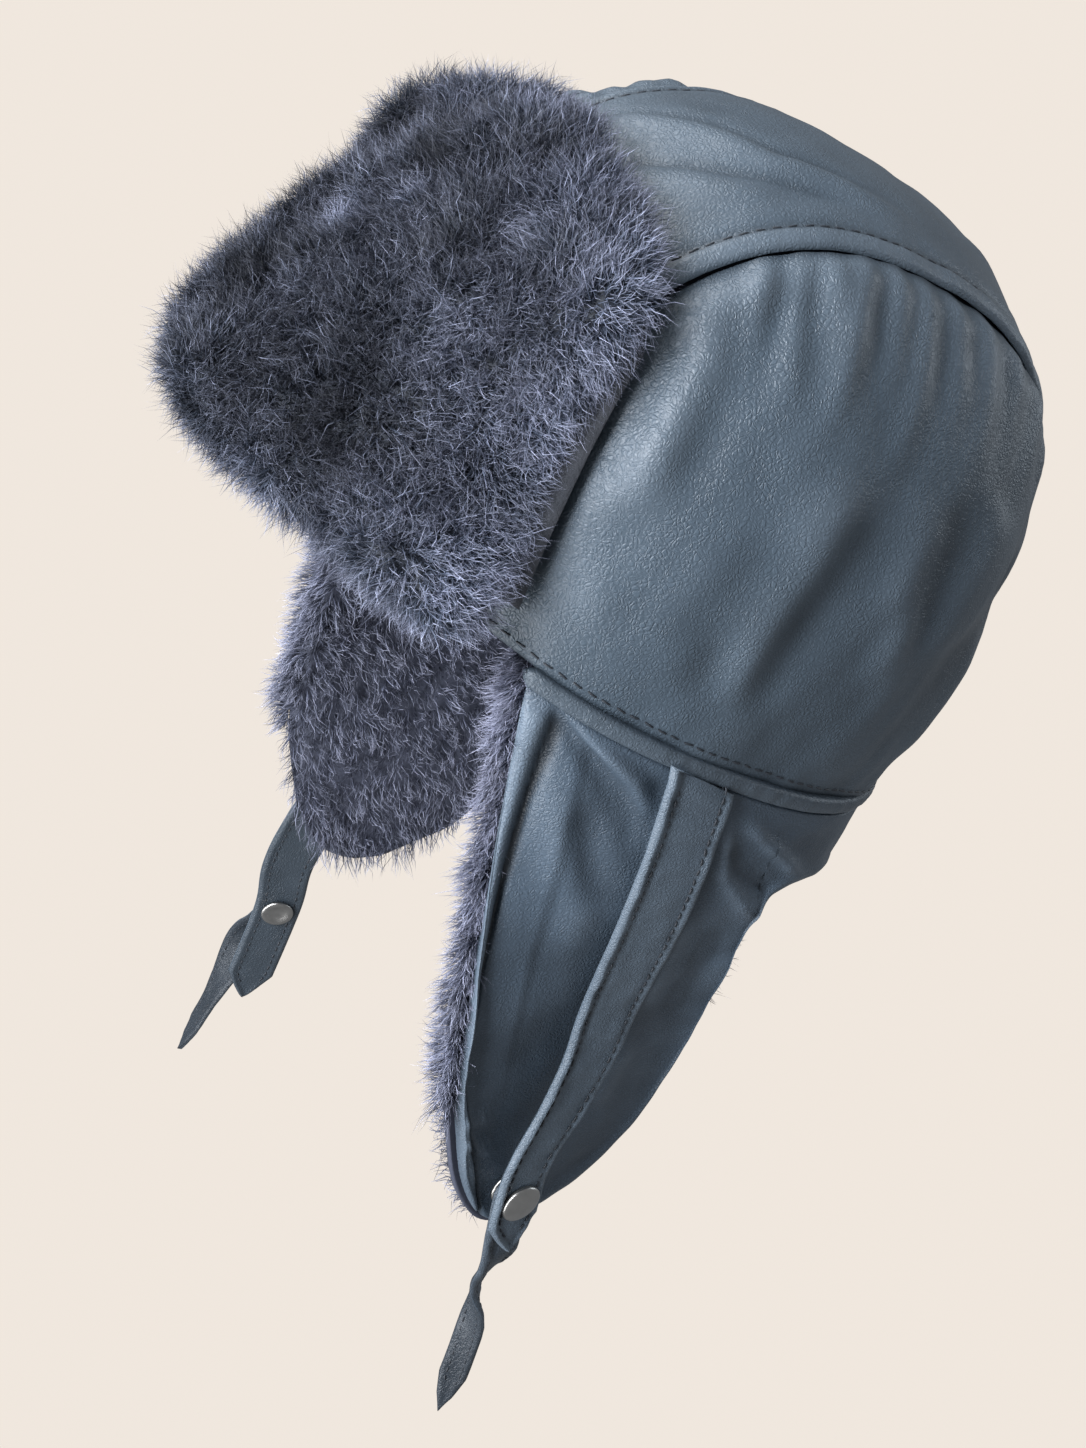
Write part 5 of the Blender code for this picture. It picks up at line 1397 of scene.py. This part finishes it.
rows, columns = 116, 72
u = crowded(rows, 0.35) * 2.0 - 1.0
v = crowded(columns, 0.35)
u, v = np.meshgrid(u, v, indexing="ij")
depth_rows = np.array([VISOR_DEPTH[name] for name in ("fold", "lower", "upper", "edge")])
depth = through(depth_rows.T, (u[:, 0] + 1.0) / 2.0)
depth = through(depth.T, v[0]).T
back_offset = VISOR_HIDE_OFFSET + VISOR_HIDE + 2.5 * GAP
margin = np.minimum(np.minimum(1.0 - np.abs(u), (v + 0.02) * 0.9), (1.0 - v) * 0.9)
pillow = np.sqrt(np.clip(1.0 - (1.0 - np.clip(margin / 0.16, 0.0, 1.0)) ** 2, 0.0, 1.0))
full = back_offset + VISOR_EDGE + (depth - back_offset - VISOR_EDGE) * (0.35 + 0.65 * pillow)
shrink_u = np.where(u > 0.0, PAD_NEAR - PAD_NEAR_WAIST * bell(v - 0.62, 0.20), PAD_FAR)
pad_u, pad_v = u * shrink_u, PAD_LOW + v * PAD_TALL
spot = visor(pad_u, pad_v, full)
lumps = 0.0016 * waves(spot, 0.026, 271) + 0.0005 * waves(spot, 0.008, 272)
pad_offset = np.maximum(full - FUR_SINK + lumps, back_offset + 0.0008 + 0.001 * pillow)
outer = visor(pad_u, pad_v, pad_offset)
inner = visor(pad_u, pad_v, np.full(u.shape, back_offset))
pad = skin("visor_wool_pad", outer, inner, fur_mat, along=0.0 * u + 0.30, tone=0.0 * u + 0.9)
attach(pad, "root")
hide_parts("visor_fur")

root, normal, gi, gj = scatter(outer, FIBRES, 281)
fu = np.interp(gi * (rows - 1), np.arange(rows), u[:, 0])
fv = np.interp(gj * (columns - 1), np.arange(columns), v[0])
toward = visor(fu * 0.92, PAD_LOW + fv * PAD_TALL, np.full(FIBRES, 0.06)) - root
normal *= np.sign((normal * toward).sum(-1))[:, None]
step = 0.02
lifted = np.full(FIBRES, 0.02)
across_dir = visor(np.minimum(fu + step, 1.0), fv, lifted) - visor(fu - step, fv, lifted)
across_dir /= np.linalg.norm(across_dir, axis=-1, keepdims=True)
up_dir = visor(fu, fv + step, lifted) - visor(fu, fv - step, lifted)
up_dir /= np.linalg.norm(up_dir, axis=-1, keepdims=True)
near_side, far_side = smooth(fu, 0.86, 1.0), smooth(-fu, 0.86, 1.0)
low_side, top_side = 1.0 - smooth(fv, 0.0, 0.12), smooth(fv, 0.86, 1.0)
splay = across_dir * (near_side - far_side)[:, None] + up_dir * (top_side - low_side)[:, None]
rng = np.random.RandomState(291)
normal = normal + splay * 0.6
normal /= np.linalg.norm(normal, axis=-1, keepdims=True)
lean = tufted(root, normal, 0.034, 301) * 0.40 + tufted(root, normal, 0.012, 311) * 0.30
lean += tufted(root, normal, 0.0045, 321) * 0.25 + rng.normal(size=root.shape) * 0.42 + splay * 0.15
length = FUR_LENGTH * rng.uniform(0.70, 1.08, FIBRES) * (1.0 + 0.05 * waves(root, 0.012, 331))
cloudy = 1.0 + 0.30 * waves(root, 0.030, 341) + 0.22 * waves(root, 0.010, 351)
tone = np.exp(0.55 * rng.normal(size=FIBRES)) * cloudy
tone *= 0.68 + 0.28 * smooth(fu, 0.40, 0.95) + 0.22 * smooth(-fu, 0.60, 1.0)
tone *= 1.0 + 0.15 * (1.0 - smooth(fv, 0.0, 0.22)) + 0.75 * smooth(fv, 0.72, 1.0)
# Pale wisps of the fur's own tone, with painted sheen and painted shade where the fur's lay turns.
for spot_of in FUR_PATCHES:
    off_across = (fu - spot_of["across"]) / spot_of["wide"]
    off_up = (fv - spot_of["up"]) / spot_of["tall"]
    tone += spot_of["paler"] * np.exp(-(off_across ** 2 + off_up ** 2))
tone = np.clip(tone, 0.25, 4.0)
width = rng.uniform(0.00017, 0.00028, FIBRES)
for k in range(3):
    part = slice(k, None, 3)
    piece = fibres("visor_wool_" + "abc"[k], root[part], normal[part], lean[part], length[part], width[part],
                   FUR_CURL, tone[part], fur_mat, 361 + k)
    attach(piece, "root")
    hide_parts("visor_fur")
